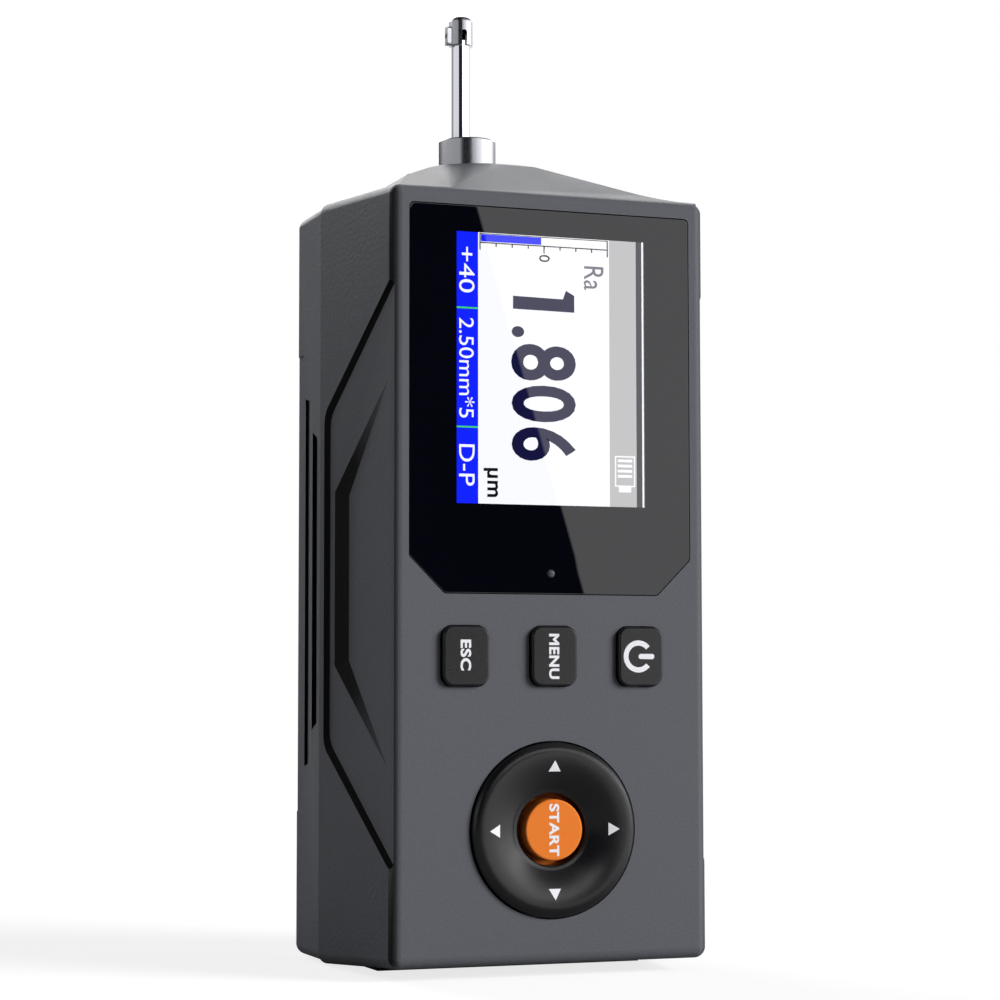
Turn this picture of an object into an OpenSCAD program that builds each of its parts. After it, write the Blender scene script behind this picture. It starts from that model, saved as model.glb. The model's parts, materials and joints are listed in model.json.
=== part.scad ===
// Handheld surface roughness tester with a retracting pickup, in millimetres.
// It stands on its heel: +Z is up along the pickup, -Y is the display side.

/* [Body] */
// Width of the front face before its edges are rounded
front_w = 61.3; // [58:0.1:70]
// Height of the front face before its edges are rounded
front_h = 140; // [138:0.5:160]
// Depth from the front face to the rear face
body_d = 54; // [52:0.5:62]
// Depth of the rear shell behind the ridge where the two shells meet
rear_d = 17; // [15:0.25:19]
// Angle at which the front shell's walls spread towards the ridge
flare = 3.5; // [2.5:0.1:4.5]
// Rounding of the front face's edges
front_r = 2.1; // [1:0.1:2.6]
// Rounding of the rear face's edges
rear_r = 2.2; // [1:0.1:3]
// Rounding of the body's long corners at the ridge
ridge_r = 2; // [1:0.1:3]
// Thickness of the shells' side walls
side_wall = 3; // [2.8:0.1:3.4]
// Thickness of the front wall
front_wall = 2.8; // [2.6:0.1:3]
// Thickness of the rear wall
rear_wall = 2.6; // [2:0.1:3]
// How far the rear shell's ends stand inside the ridge
end_step = 0.4; // [0.1:0.05:0.8]
// How far the heel stands below the ridge
heel_proud = 0.1; // [0.05:0.05:0.5]
// Distance from the heel's front end to the rear face
heel_reach = 32; // [28:0.5:34]
// Distance from the heel's rear end to the rear face
heel_back = 6; // [4:0.5:8]
// Distance from the heel to the front face's sides
heel_side = 4.65; // [3:0.05:10]

/* [Nose hump] */
// Distance from the pickup's axis to the rear face
axis_back = 27.5; // [26.5:0.25:29]
// Sideways place of the pickup's axis
axis_x = -6.9; // [-8:0.1:-6]
// Height of the hump's plateau over the body's top
hump_h = 7.05; // [6.5:0.05:8]
// Distance from the pickup's axis to the plateau's sides
plateau_r = 7.8; // [7.5:0.1:9]
// Sideways run of the steep left flank
flank_run = 5.9; // [5:0.1:8]
// Slope of the long right flank
flank_slope = 17.7; // [16:0.1:22]
// Radius of the hollow where the right flank meets the body's top
flank_r = 38; // [20:1:42]
// Slope of the hump's front
hump_slope = 26.7; // [24:0.1:34]
// Depth at which the hump's front slope begins
hump_d = 1.8; // [1:0.1:3]
// Rounding of the plateau's front left corner
corner_r = 12; // [6:0.5:14]

/* [Side grips] */
// Depth of the long recess in each side panel
recess_depth = 0.72; // [0.3:0.02:0.9]
// Run of the recess's sloped wall
recess_run = 1.5; // [0.6:0.1:2]
// Distance from the ridge to the recess
recess_gap = 2.2; // [1.5:0.1:4]
// Half length of the recess at its rear edge
recess_rear = 31.4; // [24:0.2:36]
// Half length of the recess at the front face
recess_front = 53.8; // [46:0.2:58]
// Depth of the scoop below the recess's floor
scoop_depth = 1.4; // [0.6:0.05:1.5]
// Distance from the ridge to the scoop's rear edge
scoop_gap = 6.2; // [5:0.1:9]
// Run of the scoop's rear slope
scoop_run = 3.9; // [2:0.1:5]
// Half length of the scoop's rear edge
scoop_rear = 16.3; // [12:0.1:20]
// Half length of the scoop at its front
scoop_front = 34.8; // [30:0.1:40]
// Half lengths of the two saw-tooth steps behind the ridge
tooth_half = [28.5, 35.9]; // [20:0.1:40]
// Depths of the two saw-tooth steps into the wall
tooth_depth = [0.86, 1.06]; // [0.4:0.02:1.2]
// Distances of the two steps behind the ridge
tooth_gap = [5.1, 11.5]; // [3:0.1:13]
// Half length of the finger recess along the rear edge
finger_half = 44.3; // [40:0.1:50]
// Depth of the finger recess
finger_depth = 0.45; // [0.2:0.05:0.8]

/* [Display] */
// Distance from the window to the front's sides
glass_side = 3.35; // [2.6:0.05:4]
// Distance from the window to the front's upper edge
glass_end = 3.45; // [3:0.05:4]
// Lower edge of the window above the front's lower edge
glass_low = 66.35; // [66:0.05:67]
// Thickness of the window
glass_t = 1.5; // [1:0.1:1.6]
// Bevel at the window's two lower corners
glass_bevel = 6.6; // [4:0.1:8]
// Rounding of the window's corners
glass_r = 1; // [0.5:0.1:2]
// Gap around the window
glass_gap = 0.1; // [0.05:0.01:0.2]
// Distance from the picture area to the window's sides
view_side = 8.9; // [8:0.1:10]
// Distance from the picture area to the window's lower edge
view_low = 16.15; // [14:0.05:18]
// Distance from the picture area to the window's upper edge
view_end = 4.85; // [4.5:0.05:6]
// Border of the display module beside the picture
lcd_side = 2.8; // [2:0.1:2.9]
// Border of the display module above and below the picture
lcd_end = 5.4; // [4:0.1:5.4]
// Thickness of the display module
lcd_t = 2.3; // [1.8:0.1:2.6]
// Height of the status light above the window's lower edge
light_up = 3.95; // [3:0.05:6]
// Radius of the status light pipe
light_r = 0.8; // [0.5:0.05:1.2]

/* [Keys] */
// Width of a key's opening
key_w = 9.16; // [8.4:0.02:9.6]
// Height of a key's opening
key_h = 11.12; // [10:0.02:11.4]
// Corner radius of a key's opening
key_r = 2.2; // [1:0.1:3]
// Spacing of the three keys
key_pitch = 16.92; // [15:0.02:17.4]
// Height of the keys' middle above the front's lower edge
key_z = 55.15; // [54.5:0.05:55.5]
// How far a key stands proud of the front
key_proud = 1.2; // [0.6:0.1:1.8]
// Travel of a key
key_travel = 0.8; // [0.4:0.05:0.9]
// Gap around a key
key_gap = 0.18; // [0.1:0.02:0.3]

/* [Direction pad] */
// Height of the pad's middle above the front's lower edge
pad_z = 23.97; // [23:0.05:25]
// Radius of the pad's opening
pad_r = 16; // [15.2:0.05:16.4]
// Gap around the pad
pad_gap = 0.3; // [0.26:0.02:0.4]
// How far the pad's rim stands proud of the front
pad_proud = 1.3; // [0.8:0.1:1.8]
// Radius of the pad's middle hole
pad_hole_r = 6.5; // [6.3:0.05:6.8]
// Radius of the start button
start_r = 5.7; // [5:0.05:5.8]
// How far the start button stands proud of the front
start_proud = 0.5; // [0.2:0.1:1]
// Travel of the start button
start_travel = 1; // [0.5:0.05:1]
// Steepest tilt of the pad
pad_tilt = 2; // [1:0.1:2]

/* [Pickup] */
// Radius of the nose bush
bush_r = 5.45; // [5.2:0.05:6]
// How far the nose bush stands over the plateau
bush_h = 5.28; // [4:0.02:6]
// Radius of the pickup's body
body_r = 4.2; // [4:0.05:4.4]
// Running gap between the pickup's body and the bush
slide_gap = 0.05; // [0.03:0.01:0.1]
// Sideways offset of the pickup's tube from the bush
tube_offset = 1.3; // [1:0.05:1.5]
// Radius of the pickup's tube
tube_r = 1.75; // [1.6:0.05:1.9]
// Bore radius of the pickup's tube
tube_bore = 1.2; // [1.1:0.05:1.3]
// Radius of the pickup's head
head_r = 2.25; // [2.1:0.05:2.4]
// Length of the pickup's tube outside the nose bush
tube_len = 18.45; // [18:0.05:20]
// Length of the head
head_len = 5.7; // [5.4:0.1:6.2]
// How far the skid stands out of the head
skid_proud = 0.75; // [0.4:0.05:1]
// Stroke of the pickup
stroke = 17.5; // [10:0.5:17.5]

/* [Drive] */
// Radius of the guide rods
rod_r = 2; // [1.5:0.05:2.2]
// Distance of each guide rod from the pickup's axis
rod_x = 10.5; // [10.2:0.1:11]
// Radius of the lead screw
screw_r = 1.5; // [1.2:0.05:1.8]
// Distance of the lead screw behind the pickup's axis
screw_y = 8.5; // [8.2:0.1:8.8]
// Radius of the gear motor
motor_r = 6; // [5:0.1:6.2]
// Length of the gear motor
motor_len = 34; // [28:0.5:38]
// Distance from the drive frame's upper plate to the front's upper edge
frame_drop = 16; // [14:0.25:17]
// Spacing of the drive frame's plates
frame_span = 60; // [59:0.25:61]
// Thickness of the drive frame's plates
frame_t = 4; // [3:0.25:4.5]
// Height of the carriage
carriage_h = 18; // [14:0.5:18]

/* [Battery] */
// Width of the battery pack
battery_w = 20; // [16:0.5:22]
// Height of the battery pack
battery_h = 35; // [28:0.5:40]
// Thickness of the battery pack
battery_t = 14; // [10:0.5:14]

/* [Hidden] */
$fn = 64;

// Overlap that keeps cutters clear of the faces they open
cut = 1;
// Play between two still pieces that seat in each other
seat = 0.02;
// Play around the small pivot pins
pin_gap = 0.05;

// Frame: the deepest and lowest points set where the front face stands
spread = tan(flare);
ridge_d = body_d - rear_d;
axis_d = body_d - axis_back;
heel_d = body_d - heel_reach;
heel_w = front_w - 2 * heel_side;
scoop_d = ridge_d - scoop_gap;
tooth_d = [for (gap = tooth_gap) ridge_d + gap];
y_front = -(body_d - pad_proud) / 2;
z_front = ridge_d * spread + heel_proud;
mid_z = front_h / 2;
half_w = front_w / 2;
ridge_w = half_w + ridge_d * spread;
ridge_h = mid_z + ridge_d * spread;

// Window, picture and display module on the front face
glass_w = front_w - 2 * glass_side;
glass_h = front_h - glass_low - glass_end;
view_w = glass_w - 2 * view_side;
view_h = glass_h - view_low - view_end;
view_mid = glass_low + view_low + view_h / 2;
lcd_w = view_w + 2 * lcd_side;
lcd_h = view_h + 2 * lcd_end;
light_z = glass_low + light_up;

// Case screws and the posts that take them
post_r = 2.9;
post_gap = 0.35;
post_x = half_w - side_wall - post_r - post_gap;
post_low = 9;
post_drop = 7.5;
post_top = front_h - post_drop;
insert_r = 1.7;
insert_len = 5;
case_screw_r = 1;
case_screw_len = 7;
case_head_r = 2;
case_head_t = 1.6;
case_head_gap = 0.3;
case_head_up = 3.2;
case_head_d = ridge_d + case_head_up;

// Places behind the front wall, as depths from the front face
lcd_back = front_wall + lcd_t;
board_gap = 5.2;
board_d = front_wall + board_gap;
board_t = 1.6;
board_back = board_d + board_t;
board_side = 0.7;
board_w = 2 * (post_x - post_r - board_side);
board_low = 4;
board_drop = 6;
board_top = front_h - board_drop;
flange_t = 0.9;
flange_gap = 0.05;
key_flange = 1;
key_stem_len = 2.2;
key_stem_d = front_wall + key_stem_len;
key_stem_r = 1.5;
press_gap = 0.1;
switch_top = key_stem_d + key_travel + press_gap;
switch_cap = 0.5;
switch_cap_r = 1.5;
key_switch_w = 6;

// Direction pad: depths of its flange, its pivots and the switches under it
pad_room = 0.4;
pad_lip = 1.2;
pad_flange_t = 0.6;
pad_flange_r = pad_r + pad_lip;
pad_flange_d = front_wall + pad_flange_r * sin(pad_tilt) + pad_room;
pad_back = pad_flange_d + pad_flange_t;
pivot_up = 2;
pivot_d = board_d - pivot_up;
gimbal_gap = 0.3;
gimbal_w = 1.4;
gimbal_t = 1.6;
lug_in = pad_hole_r + 0.7;
lug_t = 1.4;
lug_w = 2.4;
lug_out = lug_in + lug_t;
gimbal_in = lug_out + gimbal_gap;
gimbal_out = gimbal_in + gimbal_w;
pivot_r = 0.55;
ear_t = 1.3;
ear_w = 3;
ear_up = 1;
ear_in = gimbal_out + gimbal_gap;
ear_out = ear_in + ear_t;
cradle_t = 0.6;
start_flange_t = 0.6;
start_flange_d = pad_back + pad_room;
start_flange_r = pad_hole_r + 0.5;
start_switch_top = start_flange_d + start_flange_t + start_travel + press_gap;
pad_switch_w = 3.4;
pad_switch_r = ear_out + pad_switch_w / 2 + 0.2;
pad_switch_top = pad_back + pad_switch_r * sin(pad_tilt) + pad_room;
pad_cap_r = 1;

// Board screws and their bosses
boss_r = 2;
boss_side = 2.2;
boss_x = board_w / 2 - boss_side;
boss_heights = [8, 65.6];
board_screw_r = 0.9;
board_screw_len = 5.5;
board_head_r = 1.7;
board_head_t = 1.1;

// Chips on the board: middles across it and below its top, and sizes
processor_x = -8;
processor_drop = 34;
processor_w = 12;
processor_t = 1.4;
memory_x = 8;
memory_drop = 28;
memory_w = 10;
memory_h = 14;
memory_t = 1.2;
amplifier_x = -11;
amplifier_drop = 56;
amplifier_w = 8;
amplifier_h = 12;
amplifier_t = 1.1;
regulator_x = 10;
regulator_drop = 12;
regulator_w = 6;
regulator_t = 1.1;
filter_x = -5;
filter_drop = 10;
filter_pitch = 5;
filter_w = 3;
filter_h = 4;
filter_t = 0.9;

// Shield can, connector and buzzer: middles across the board, lower ends and sizes
can_x = -2;
can_low = 34;
can_w = 20;
can_h = 16;
can_t = 2.6;
connector_x = 10;
connector_low = 76;
connector_w = 16;
connector_h = 5;
connector_t = 4.2;
connector_wall = 1;
buzzer_x = 12;
buzzer_z = 60;
buzzer_r = 4.6;
buzzer_t = 3.6;
buzzer_hole_r = 0.8;
buzzer_hole_t = 1.6;

// Drive frame and what it carries
frame_top = front_h - frame_drop;
frame_low = frame_top - frame_span;
frame_side = 4;
frame_front = 7.5;
frame_w = rod_x + frame_side;
frame_d0 = axis_d - frame_front;
screw_d = axis_d + screw_y;
frame_back_gap = 5.5;
frame_back = screw_d + frame_back_gap;
frame_back_t = 2.5;
frame_rear = frame_back + frame_back_t;
pickup_hole_r = body_r + 0.4;
bearing_r = 3;
stand_r = 2.5;
stand_side = 3;
stand_x = frame_w - stand_side;
stand_heights = [frame_low + frame_t + stand_side, frame_top - stand_side];
drive_screw_r = 0.9;
drive_screw_len = 4;
drive_head_r = 1.7;
drive_head_t = 1.1;
carriage_side = 0.5;
carriage_front = 5.5;
carriage_rear = 3.8;
carriage_drop = 18;
carriage_w = frame_w - carriage_side;
carriage_d0 = axis_d - carriage_front;
carriage_d1 = screw_d + carriage_rear;
carriage_top = frame_top - carriage_drop;
nut_r = 3;
socket_r = 5;
socket_h = 6;
plug_r = 2.5;
plug_len = 4.5;
coupling_r = 3;
coupling_gap = 0.3;
bracket_h = 8;
bracket_t = 2;
bracket_w = 9;
motor_top = frame_low - bracket_h;
sensor_t = 1.5;
sensor_x = axis_x + frame_w;
sensor_front = 3;
sensor_rear = 2;
sensor_end = 1;
limit_w = 3;
limit_d = 6;
limit_h = 5;
limit_drop = 3;

// Hump: its edges, its wall, the seat of the bush's flange and the cavity below
hump_wall = 2.6;
hump_r = 8;
hump_root = 5;
hump_sink = 0.3;
hump_ease = 0.45;
shoulder_r = 1.2;
flank_lean = flank_run / hump_h;
crest_d = hump_d + hump_h / tan(hump_slope);
hump_left = axis_x - plateau_r + (axis_d - crest_d) * spread;
bush_flange_r = 7.2;
bush_flange_t = 2.4;
bush_drop = 0.6;
plateau_z = front_h + hump_h + axis_d * spread;
bush_seat = plateau_z - hump_wall - bush_drop;
bush_top = plateau_z + bush_h;
head_low = bush_top + tube_len;

// Pickup: tube, head, skid and stylus share one axis beside the bush's own
tube_x = axis_x - tube_offset;
body_low = carriage_top + socket_h;
body_top = bush_top - 0.5;
tube_low = body_top - 3;
stylus_z = head_low + 1.9;
stylus_top = stylus_z + 0.6;
arm_r = 0.45;
arm_low = body_top - 13;
pivot_z = body_top + 3;
pivot_pin_r = 0.35;
coil_in = 1;
coil_out = body_r - tube_offset - 0.7;
coil_low = body_top - 15;
coil_len = 10;
tip_r = 0.3;
tip_hole_r = 0.5;
tip_proud = 0.25;
skid_x = tube_x - head_r - skid_proud;
skid_h = 3.8;
skid_w = 2.4;

// Battery tray, seated on the rear wall
tray_t = 0.8;
tray_side = 0.5;
tray_gap = 0.36;
tray_w = battery_w + 2 * (tray_t + seat);
tray_h = battery_h + 2 * (tray_t + seat);
tray_x = axis_x + bracket_w + tray_side;
tray_low = frame_low - tray_gap - tray_h;
tray_back = body_d - rear_wall;

// Socket in the lower end
port_w = 9;
port_t = 3.2;
port_len = 7.2;
port_gap = 0.15;
port_wall = 0.4;
port_back = 1;
tongue_w = 6.2;
tongue_t = 0.7;
tongue_gap = 0.8;

// Places and shapes used all over

function yf(d) = y_front + d;
function zf(h) = z_front + h;
function unit(v) = v / norm(v);

// Points of one corner p between a and b, rounded with radius r
function corner_arc(a, p, b, r) =
  let (u = unit(a - p), w = unit(b - p), half = acos(u * w) / 2)
  let (c = p + unit(u + w) * r / sin(half), s = p + u * r / tan(half), e = p + w * r / tan(half))
  let (from = atan2(s.y - c.y, s.x - c.x), to = atan2(e.y - c.y, e.x - c.x))
  let (sweep = ((to - from + 540) % 360) - 180, steps = 8)
  [for (i = [0:steps]) c + r * [cos(from + sweep * i / steps), sin(from + sweep * i / steps)]];

// Outline through [x, y, radius] corners
function rounded(corners) = [
  for (i = [0:len(corners) - 1])
    let (n = len(corners), p = corners[i], a = corners[(i + n - 1) % n], b = corners[(i + 1) % n])
    each p.z > 0 ? corner_arc([a.x, a.y], [p.x, p.y], [b.x, b.y], p.z) : [[p.x, p.y]]
];

function rounded_rect(x, y, w, h, r) = rounded([
  [x - w / 2, y - h / 2, r], [x + w / 2, y - h / 2, r],
  [x + w / 2, y + h / 2, r], [x - w / 2, y + h / 2, r]
]);

// Outline in the front's plane, made solid from depth d0 to depth d1
module plate(outline, d0, d1) {
  translate([0, yf(d1), zf(0)])
    rotate([90, 0, 0])
      linear_extrude(d1 - d0)
        polygon(outline);
}

module box(x0, x1, d0, d1, h0, h1) {
  translate([x0, yf(d0), zf(h0)])
    cube([x1 - x0, d1 - d0, h1 - h0]);
}

// Round bar along the depth
module bar_y(x, h, r, d0, d1) {
  translate([x, yf(d0), zf(h)])
    rotate([-90, 0, 0])
      cylinder(r = r, h = d1 - d0);
}

// Round bar along the height
module bar_z(x, d, r, h0, h1) {
  translate([x, yf(d), zf(h0)])
    cylinder(r = r, h = h1 - h0);
}

// Round bar along the width
module bar_x(x0, x1, d, h, r) {
  translate([x0, yf(d), zf(h)])
    rotate([0, 90, 0])
      cylinder(r = r, h = x1 - x0);
}

// Turned shape about the depth axis from [radius, depth] points
module turned_y(x, h, profile) {
  translate([x, yf(0), zf(h)])
    rotate([-90, 0, 0])
      rotate_extrude()
        polygon(profile);
}

module both_sides() {
  children();
  mirror([1, 0, 0])
    children();
}

module at_posts() {
  for (x = [-post_x, post_x], h = [post_low, post_top])
    translate([x, 0, h])
      children();
}

// Shells

// Block that spreads with the front shell, from depth d0 to d1, inside its skin by inset
module flared_block(inset, d0, d1) {
  hull()
    for (d = [d0, d1 - 0.01])
      box(
        -half_w - d * spread + inset, half_w + d * spread - inset, d, d + 0.01,
        inset - d * spread, front_h + d * spread - inset
      );
}

module front_skin() {
  hull() {
    box(-half_w + front_r, half_w - front_r, 0, 0.01, front_r, front_h - front_r);
    for (x = [-1, 1], z = [-1, 1]) {
      translate([x * (half_w - front_r), yf(front_r), zf(mid_z + z * (mid_z - front_r))])
        sphere(r = front_r, $fn = 32);
      bar_y(
        x * (ridge_w - ridge_r), mid_z + z * (ridge_h - ridge_r), ridge_r,
        ridge_d - 0.01, ridge_d, $fn = 32
      );
    }
  }
}

module rear_skin() {
  rear_half = ridge_h - end_step;
  hull() {
    box(
      -ridge_w + rear_r, ridge_w - rear_r, body_d - 0.01, body_d,
      mid_z - rear_half + rear_r, mid_z + rear_half - rear_r
    );
    for (x = [-1, 1], z = [-1, 1]) {
      bar_y(
        x * (ridge_w - ridge_r), mid_z + z * (rear_half - ridge_r), ridge_r,
        ridge_d, ridge_d + 0.01, $fn = 32
      );
      translate([x * (ridge_w - rear_r), yf(body_d - rear_r), zf(mid_z + z * (rear_half - rear_r))])
        sphere(r = rear_r, $fn = 32);
    }
  }
}

// Cross-section of the hump over a top at height floor, sunk by drop for the cavity below it
function hump_section(drop, left, lean, floor) =
  let (top = hump_h - drop, right = axis_x + plateau_r - drop * 0.3)
  let (foot = right + (top - floor) / tan(flank_slope), toe = foot + flank_r * tan(flank_slope / 2) + 0.5)
  rounded([
    [left - (top + hump_root) * lean, -hump_root, 0],
    [left, top, shoulder_r],
    [right, top, hump_r],
    [foot, floor, flank_r],
    [toe, floor, 0],
    [toe, -hump_root, 0]
  ]);

// The cross-section made solid from depth d0 to depth d1
module hump_bar(drop, left, lean, floor, d0, d1) {
  translate([0, d1, 0])
    rotate([90, 0, 0])
      linear_extrude(d1 - d0)
        polygon(hump_section(drop, left, lean, floor));
}

// Plan of the hump's front part, with its left edge at the crest's depth and its corner's radius
function hump_plan(front, left, r) =
  let (end = ridge_d + cut)
  rounded([
    [left + (crest_d - front) * spread, front, r], [half_w, front, 0], [half_w, end, 0],
    [left + (crest_d - end) * spread, end, 0]
  ]);

// Thin slice of the hump at height z: its edges follow the slopes, its corner opens with height
module hump_slice(z, ease) {
  up = max(z, -hump_sink);
  translate([0, 0, z - 0.01])
    linear_extrude(0.01)
      polygon(
        hump_plan(
          hump_d + up / tan(hump_slope) + ease, hump_left - (hump_h - up) * flank_lean + ease / 2,
          corner_r * (0.1 + 0.9 * up / hump_h)
        )
      );
}

// Frame on the front shell's top, which rises towards the ridge
module on_top() {
  translate([0, yf(0), zf(front_h)])
    rotate([flare, 0, 0])
      children();
}

module hump_front() {
  on_top()
    intersection() {
      hump_bar(0, -half_w, 0, -0.05, 0, ridge_d + cut);
      hull() {
        hump_slice(-hump_root, 0);
        hump_slice(-hump_sink, 0);
        hump_slice(hump_h - hump_ease, 0);
        hump_slice(hump_h + 0.02, 2 * hump_ease);
      }
    }
}

module hump_front_cavity() {
  top = hump_h - hump_wall;
  front = hump_d + hump_wall;
  on_top()
    intersection() {
      hump_bar(hump_wall, -half_w, 0, -0.05, 0, ridge_d + cut);
      translate([0, 0, -hump_root])
        linear_extrude(hump_h + hump_root)
          polygon(hump_plan(front, hump_left + shoulder_r, corner_r));
      translate([-half_w, 0, 0])
        rotate([90, 0, 90])
          linear_extrude(front_w)
            polygon([
              [front, -hump_root], [front, 0], [front + top / tan(hump_slope), top],
              [ridge_d + cut, top], [ridge_d + cut, -hump_root]
            ]);
    }
}

// Level part of the hump on the rear shell, with its rounded rear edge
module hump_rear(drop, d0) {
  end = body_d - drop - 0.8;
  left = hump_left - (ridge_d - crest_d) * spread + drop * 0.6;
  translate([0, yf(0), zf(front_h + ridge_d * spread)])
    intersection() {
      hump_bar(drop, left, flank_lean, -end_step - 0.05, d0, body_d);
      translate([-half_w - cut, 0, 0])
        rotate([90, 0, 90])
          linear_extrude(front_w + 2 * cut)
            polygon(rounded([
              [d0, -hump_root, 0], [end, -hump_root, 0], [end, hump_h - drop, rear_r],
              [d0, hump_h - drop, 0]
            ]));
    }
}

// Everything in front of the ridge
module before_ridge() {
  box(-front_w, front_w, -cut, ridge_d, -front_h, 2 * front_h);
}

module heel(d0, d1) {
  box(-heel_w / 2, heel_w / 2, d0, d1, -z_front, side_wall - d0 * spread - 0.2);
}

// Outline of the side recess in the panel's plane, grown by o
function recess_outline(o) =
  let (rear = ridge_d - recess_gap, lean = (recess_front - recess_rear) / rear)
  let (side = o * sqrt(1 + lean * lean), ahead = 4)
  rounded([
    [-ahead, recess_front + ahead * lean + side, 0],
    [rear + o, recess_rear - o * lean + side, 4],
    [rear + o, -recess_rear + o * lean - side, 4],
    [-ahead, -recess_front - ahead * lean - side, 0]
  ]);

// Local frame on the left panel: +X into the body, +Y along the panel to the rear
module on_panel() {
  translate([-half_w, yf(0), zf(mid_z)])
    rotate([0, 0, flare])
      children();
}

module panel_slice(o, x) {
  translate([x, 0, 0])
    rotate([90, 0, 90])
      linear_extrude(0.01)
        polygon(recess_outline(o));
}

module side_recess() {
  on_panel()
    hull() {
      panel_slice(recess_run, -recess_depth);
      panel_slice(-recess_run, recess_depth - 0.01);
    }
}

// Wedge with a short steep rear slope and a long ramp that rises to the front edge
module side_scoop() {
  deep = recess_depth + scoop_depth;
  reach = 1.3;
  deep_d = scoop_d - scoop_run;
  deep_half = scoop_rear - 0.9;
  edge = [scoop_run, scoop_rear - deep_half] * reach;
  tip = [3.5 - deep_d, scoop_front - deep_half] * reach;
  top = deep - scoop_depth * reach;
  on_panel()
    polyhedron(
      points = [
        for (z = [1, -1])
          each [
            [top, deep_d + edge.x, z * (deep_half + edge.y)],
            [deep, deep_d, z * deep_half],
            [top, deep_d + tip.x, z * (deep_half + tip.y)]
          ]
      ],
      faces = [[0, 1, 2], [5, 4, 3], [0, 3, 4, 1], [1, 4, 5, 2], [2, 5, 3, 0]]
    );
}

// Two ramps that each end in a step facing the front, and the finger recess behind them
module side_teeth() {
  starts = [ridge_d + 1.2, tooth_d[0]];
  for (i = [0, 1])
    hull() {
      translate([-ridge_w - cut, yf(starts[i]), zf(mid_z - tooth_half[i] + 1.6)])
        cube([cut, 0.01, 2 * tooth_half[i] - 3.2]);
      translate([-ridge_w - cut, yf(tooth_d[i] - 0.01), zf(mid_z - tooth_half[i])])
        cube([cut + tooth_depth[i], 0.01, 2 * tooth_half[i]]);
    }
  box(
    -ridge_w - cut, -ridge_w + finger_depth, tooth_d[1], body_d + cut,
    mid_z - finger_half, mid_z + finger_half
  );
}

function glass_outline(o) =
  let (x = glass_w / 2 + o, low = glass_low - o, top = glass_low + glass_h + o)
  let (bevel = glass_bevel + o * (2 - sqrt(2)))
  rounded([
    [-x, top, glass_r], [-x, low + bevel, glass_r], [-x + bevel, low, glass_r],
    [x - bevel, low, glass_r], [x, low + bevel, glass_r], [x, top, glass_r]
  ]);

module front_openings() {
  plate(glass_outline(glass_gap), -cut, glass_t);
  plate(rounded_rect(0, view_mid, view_w + 1, view_h + 1, 0.5), 0, front_wall + cut);
  for (i = [-1, 0, 1])
    plate(rounded_rect(i * key_pitch, key_z, key_w, key_h, key_r), -cut, front_wall + cut);
  bar_y(0, pad_z, pad_r, -cut, front_wall + cut);
  bar_y(0, light_z, light_r + pin_gap, 0, front_wall + cut);
  box(
    -port_w / 2 - port_gap, port_w / 2 + port_gap, board_back - port_gap, board_back + port_t + port_gap,
    -cut - z_front, side_wall + cut
  );
}

module front_shell() {
  color("#5d5f64") {
    difference() {
      union() {
        front_skin();
        intersection() {
          hump_front();
          before_ridge();
        }
        heel(heel_d, ridge_d);
      }
      flared_block(side_wall, front_wall, ridge_d + cut);
      hump_front_cavity();
      bar_z(axis_x, axis_d, bush_r + seat, front_h - cut, bush_top);
      bar_z(axis_x, axis_d, bush_flange_r + seat, front_h - cut, bush_seat);
      both_sides() {
        side_recess();
        side_scoop();
      }
      front_openings();
    }
    at_posts()
      difference() {
        bar_y(0, 0, post_r, front_wall - seat, ridge_d);
        bar_y(0, 0, insert_r + seat, ridge_d - insert_len - cut, ridge_d + cut);
      }
    for (x = [-boss_x, boss_x], h = boss_heights)
      difference() {
        bar_y(x, h, boss_r, front_wall - seat, board_d);
        bar_y(x, h, board_screw_r + seat, board_d - board_screw_len + board_t - 0.6, board_d + cut);
      }
  }
}

module rear_shell() {
  rear_half = mid_z + ridge_d * spread - end_step;
  color("#67696c") {
    difference() {
      union() {
        rear_skin();
        hump_rear(0, ridge_d);
        heel(ridge_d, body_d - heel_back);
      }
      box(
        -ridge_w + side_wall, ridge_w - side_wall, ridge_d - cut, body_d - rear_wall,
        mid_z - rear_half + side_wall, mid_z + rear_half - side_wall
      );
      hump_rear(hump_wall, ridge_d - cut);
      both_sides()
        side_teeth();
      at_posts()
        bar_y(0, 0, case_head_r + case_head_gap, case_head_d, body_d + cut);
    }
    at_posts()
      difference() {
        bar_y(0, 0, post_r, ridge_d, body_d - rear_wall + seat);
        bar_y(0, 0, case_screw_r + 0.15, ridge_d - cut, case_head_d + cut);
        bar_y(0, 0, case_head_r + case_head_gap, case_head_d, body_d + cut);
      }
    for (x = [-stand_x, stand_x], h = stand_heights)
      difference() {
        bar_y(axis_x + x, h, stand_r, frame_rear, body_d - rear_wall + seat);
        bar_y(axis_x + x, h, drive_screw_r + seat, frame_rear - cut, frame_rear + drive_screw_len + cut);
      }
  }
}

// Socket-headed screw along the depth, its shank towards +Y or -Y from the head's seat
module screw(x, h, r, head_r, head_t, seat_d, len, way) {
  difference() {
    union() {
      if (way > 0) {
        bar_y(x, h, head_r, seat_d - head_t, seat_d);
        bar_y(x, h, r, seat_d - head_t / 2, seat_d + len);
      } else {
        bar_y(x, h, head_r, seat_d, seat_d + head_t);
        bar_y(x, h, r, seat_d - len, seat_d + head_t / 2);
      }
    }
    if (way > 0)
      bar_y(x, h, head_r * 0.5, seat_d - head_t - cut, seat_d - head_t * 0.4, $fn = 6);
    else
      bar_y(x, h, head_r * 0.5, seat_d + head_t * 0.4, seat_d + head_t + cut, $fn = 6);
  }
}

module case_screws() {
  color("#2b2b2d")
    at_posts()
      screw(0, 0, case_screw_r, case_head_r, case_head_t, case_head_d, case_screw_len, -1);
}

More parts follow.
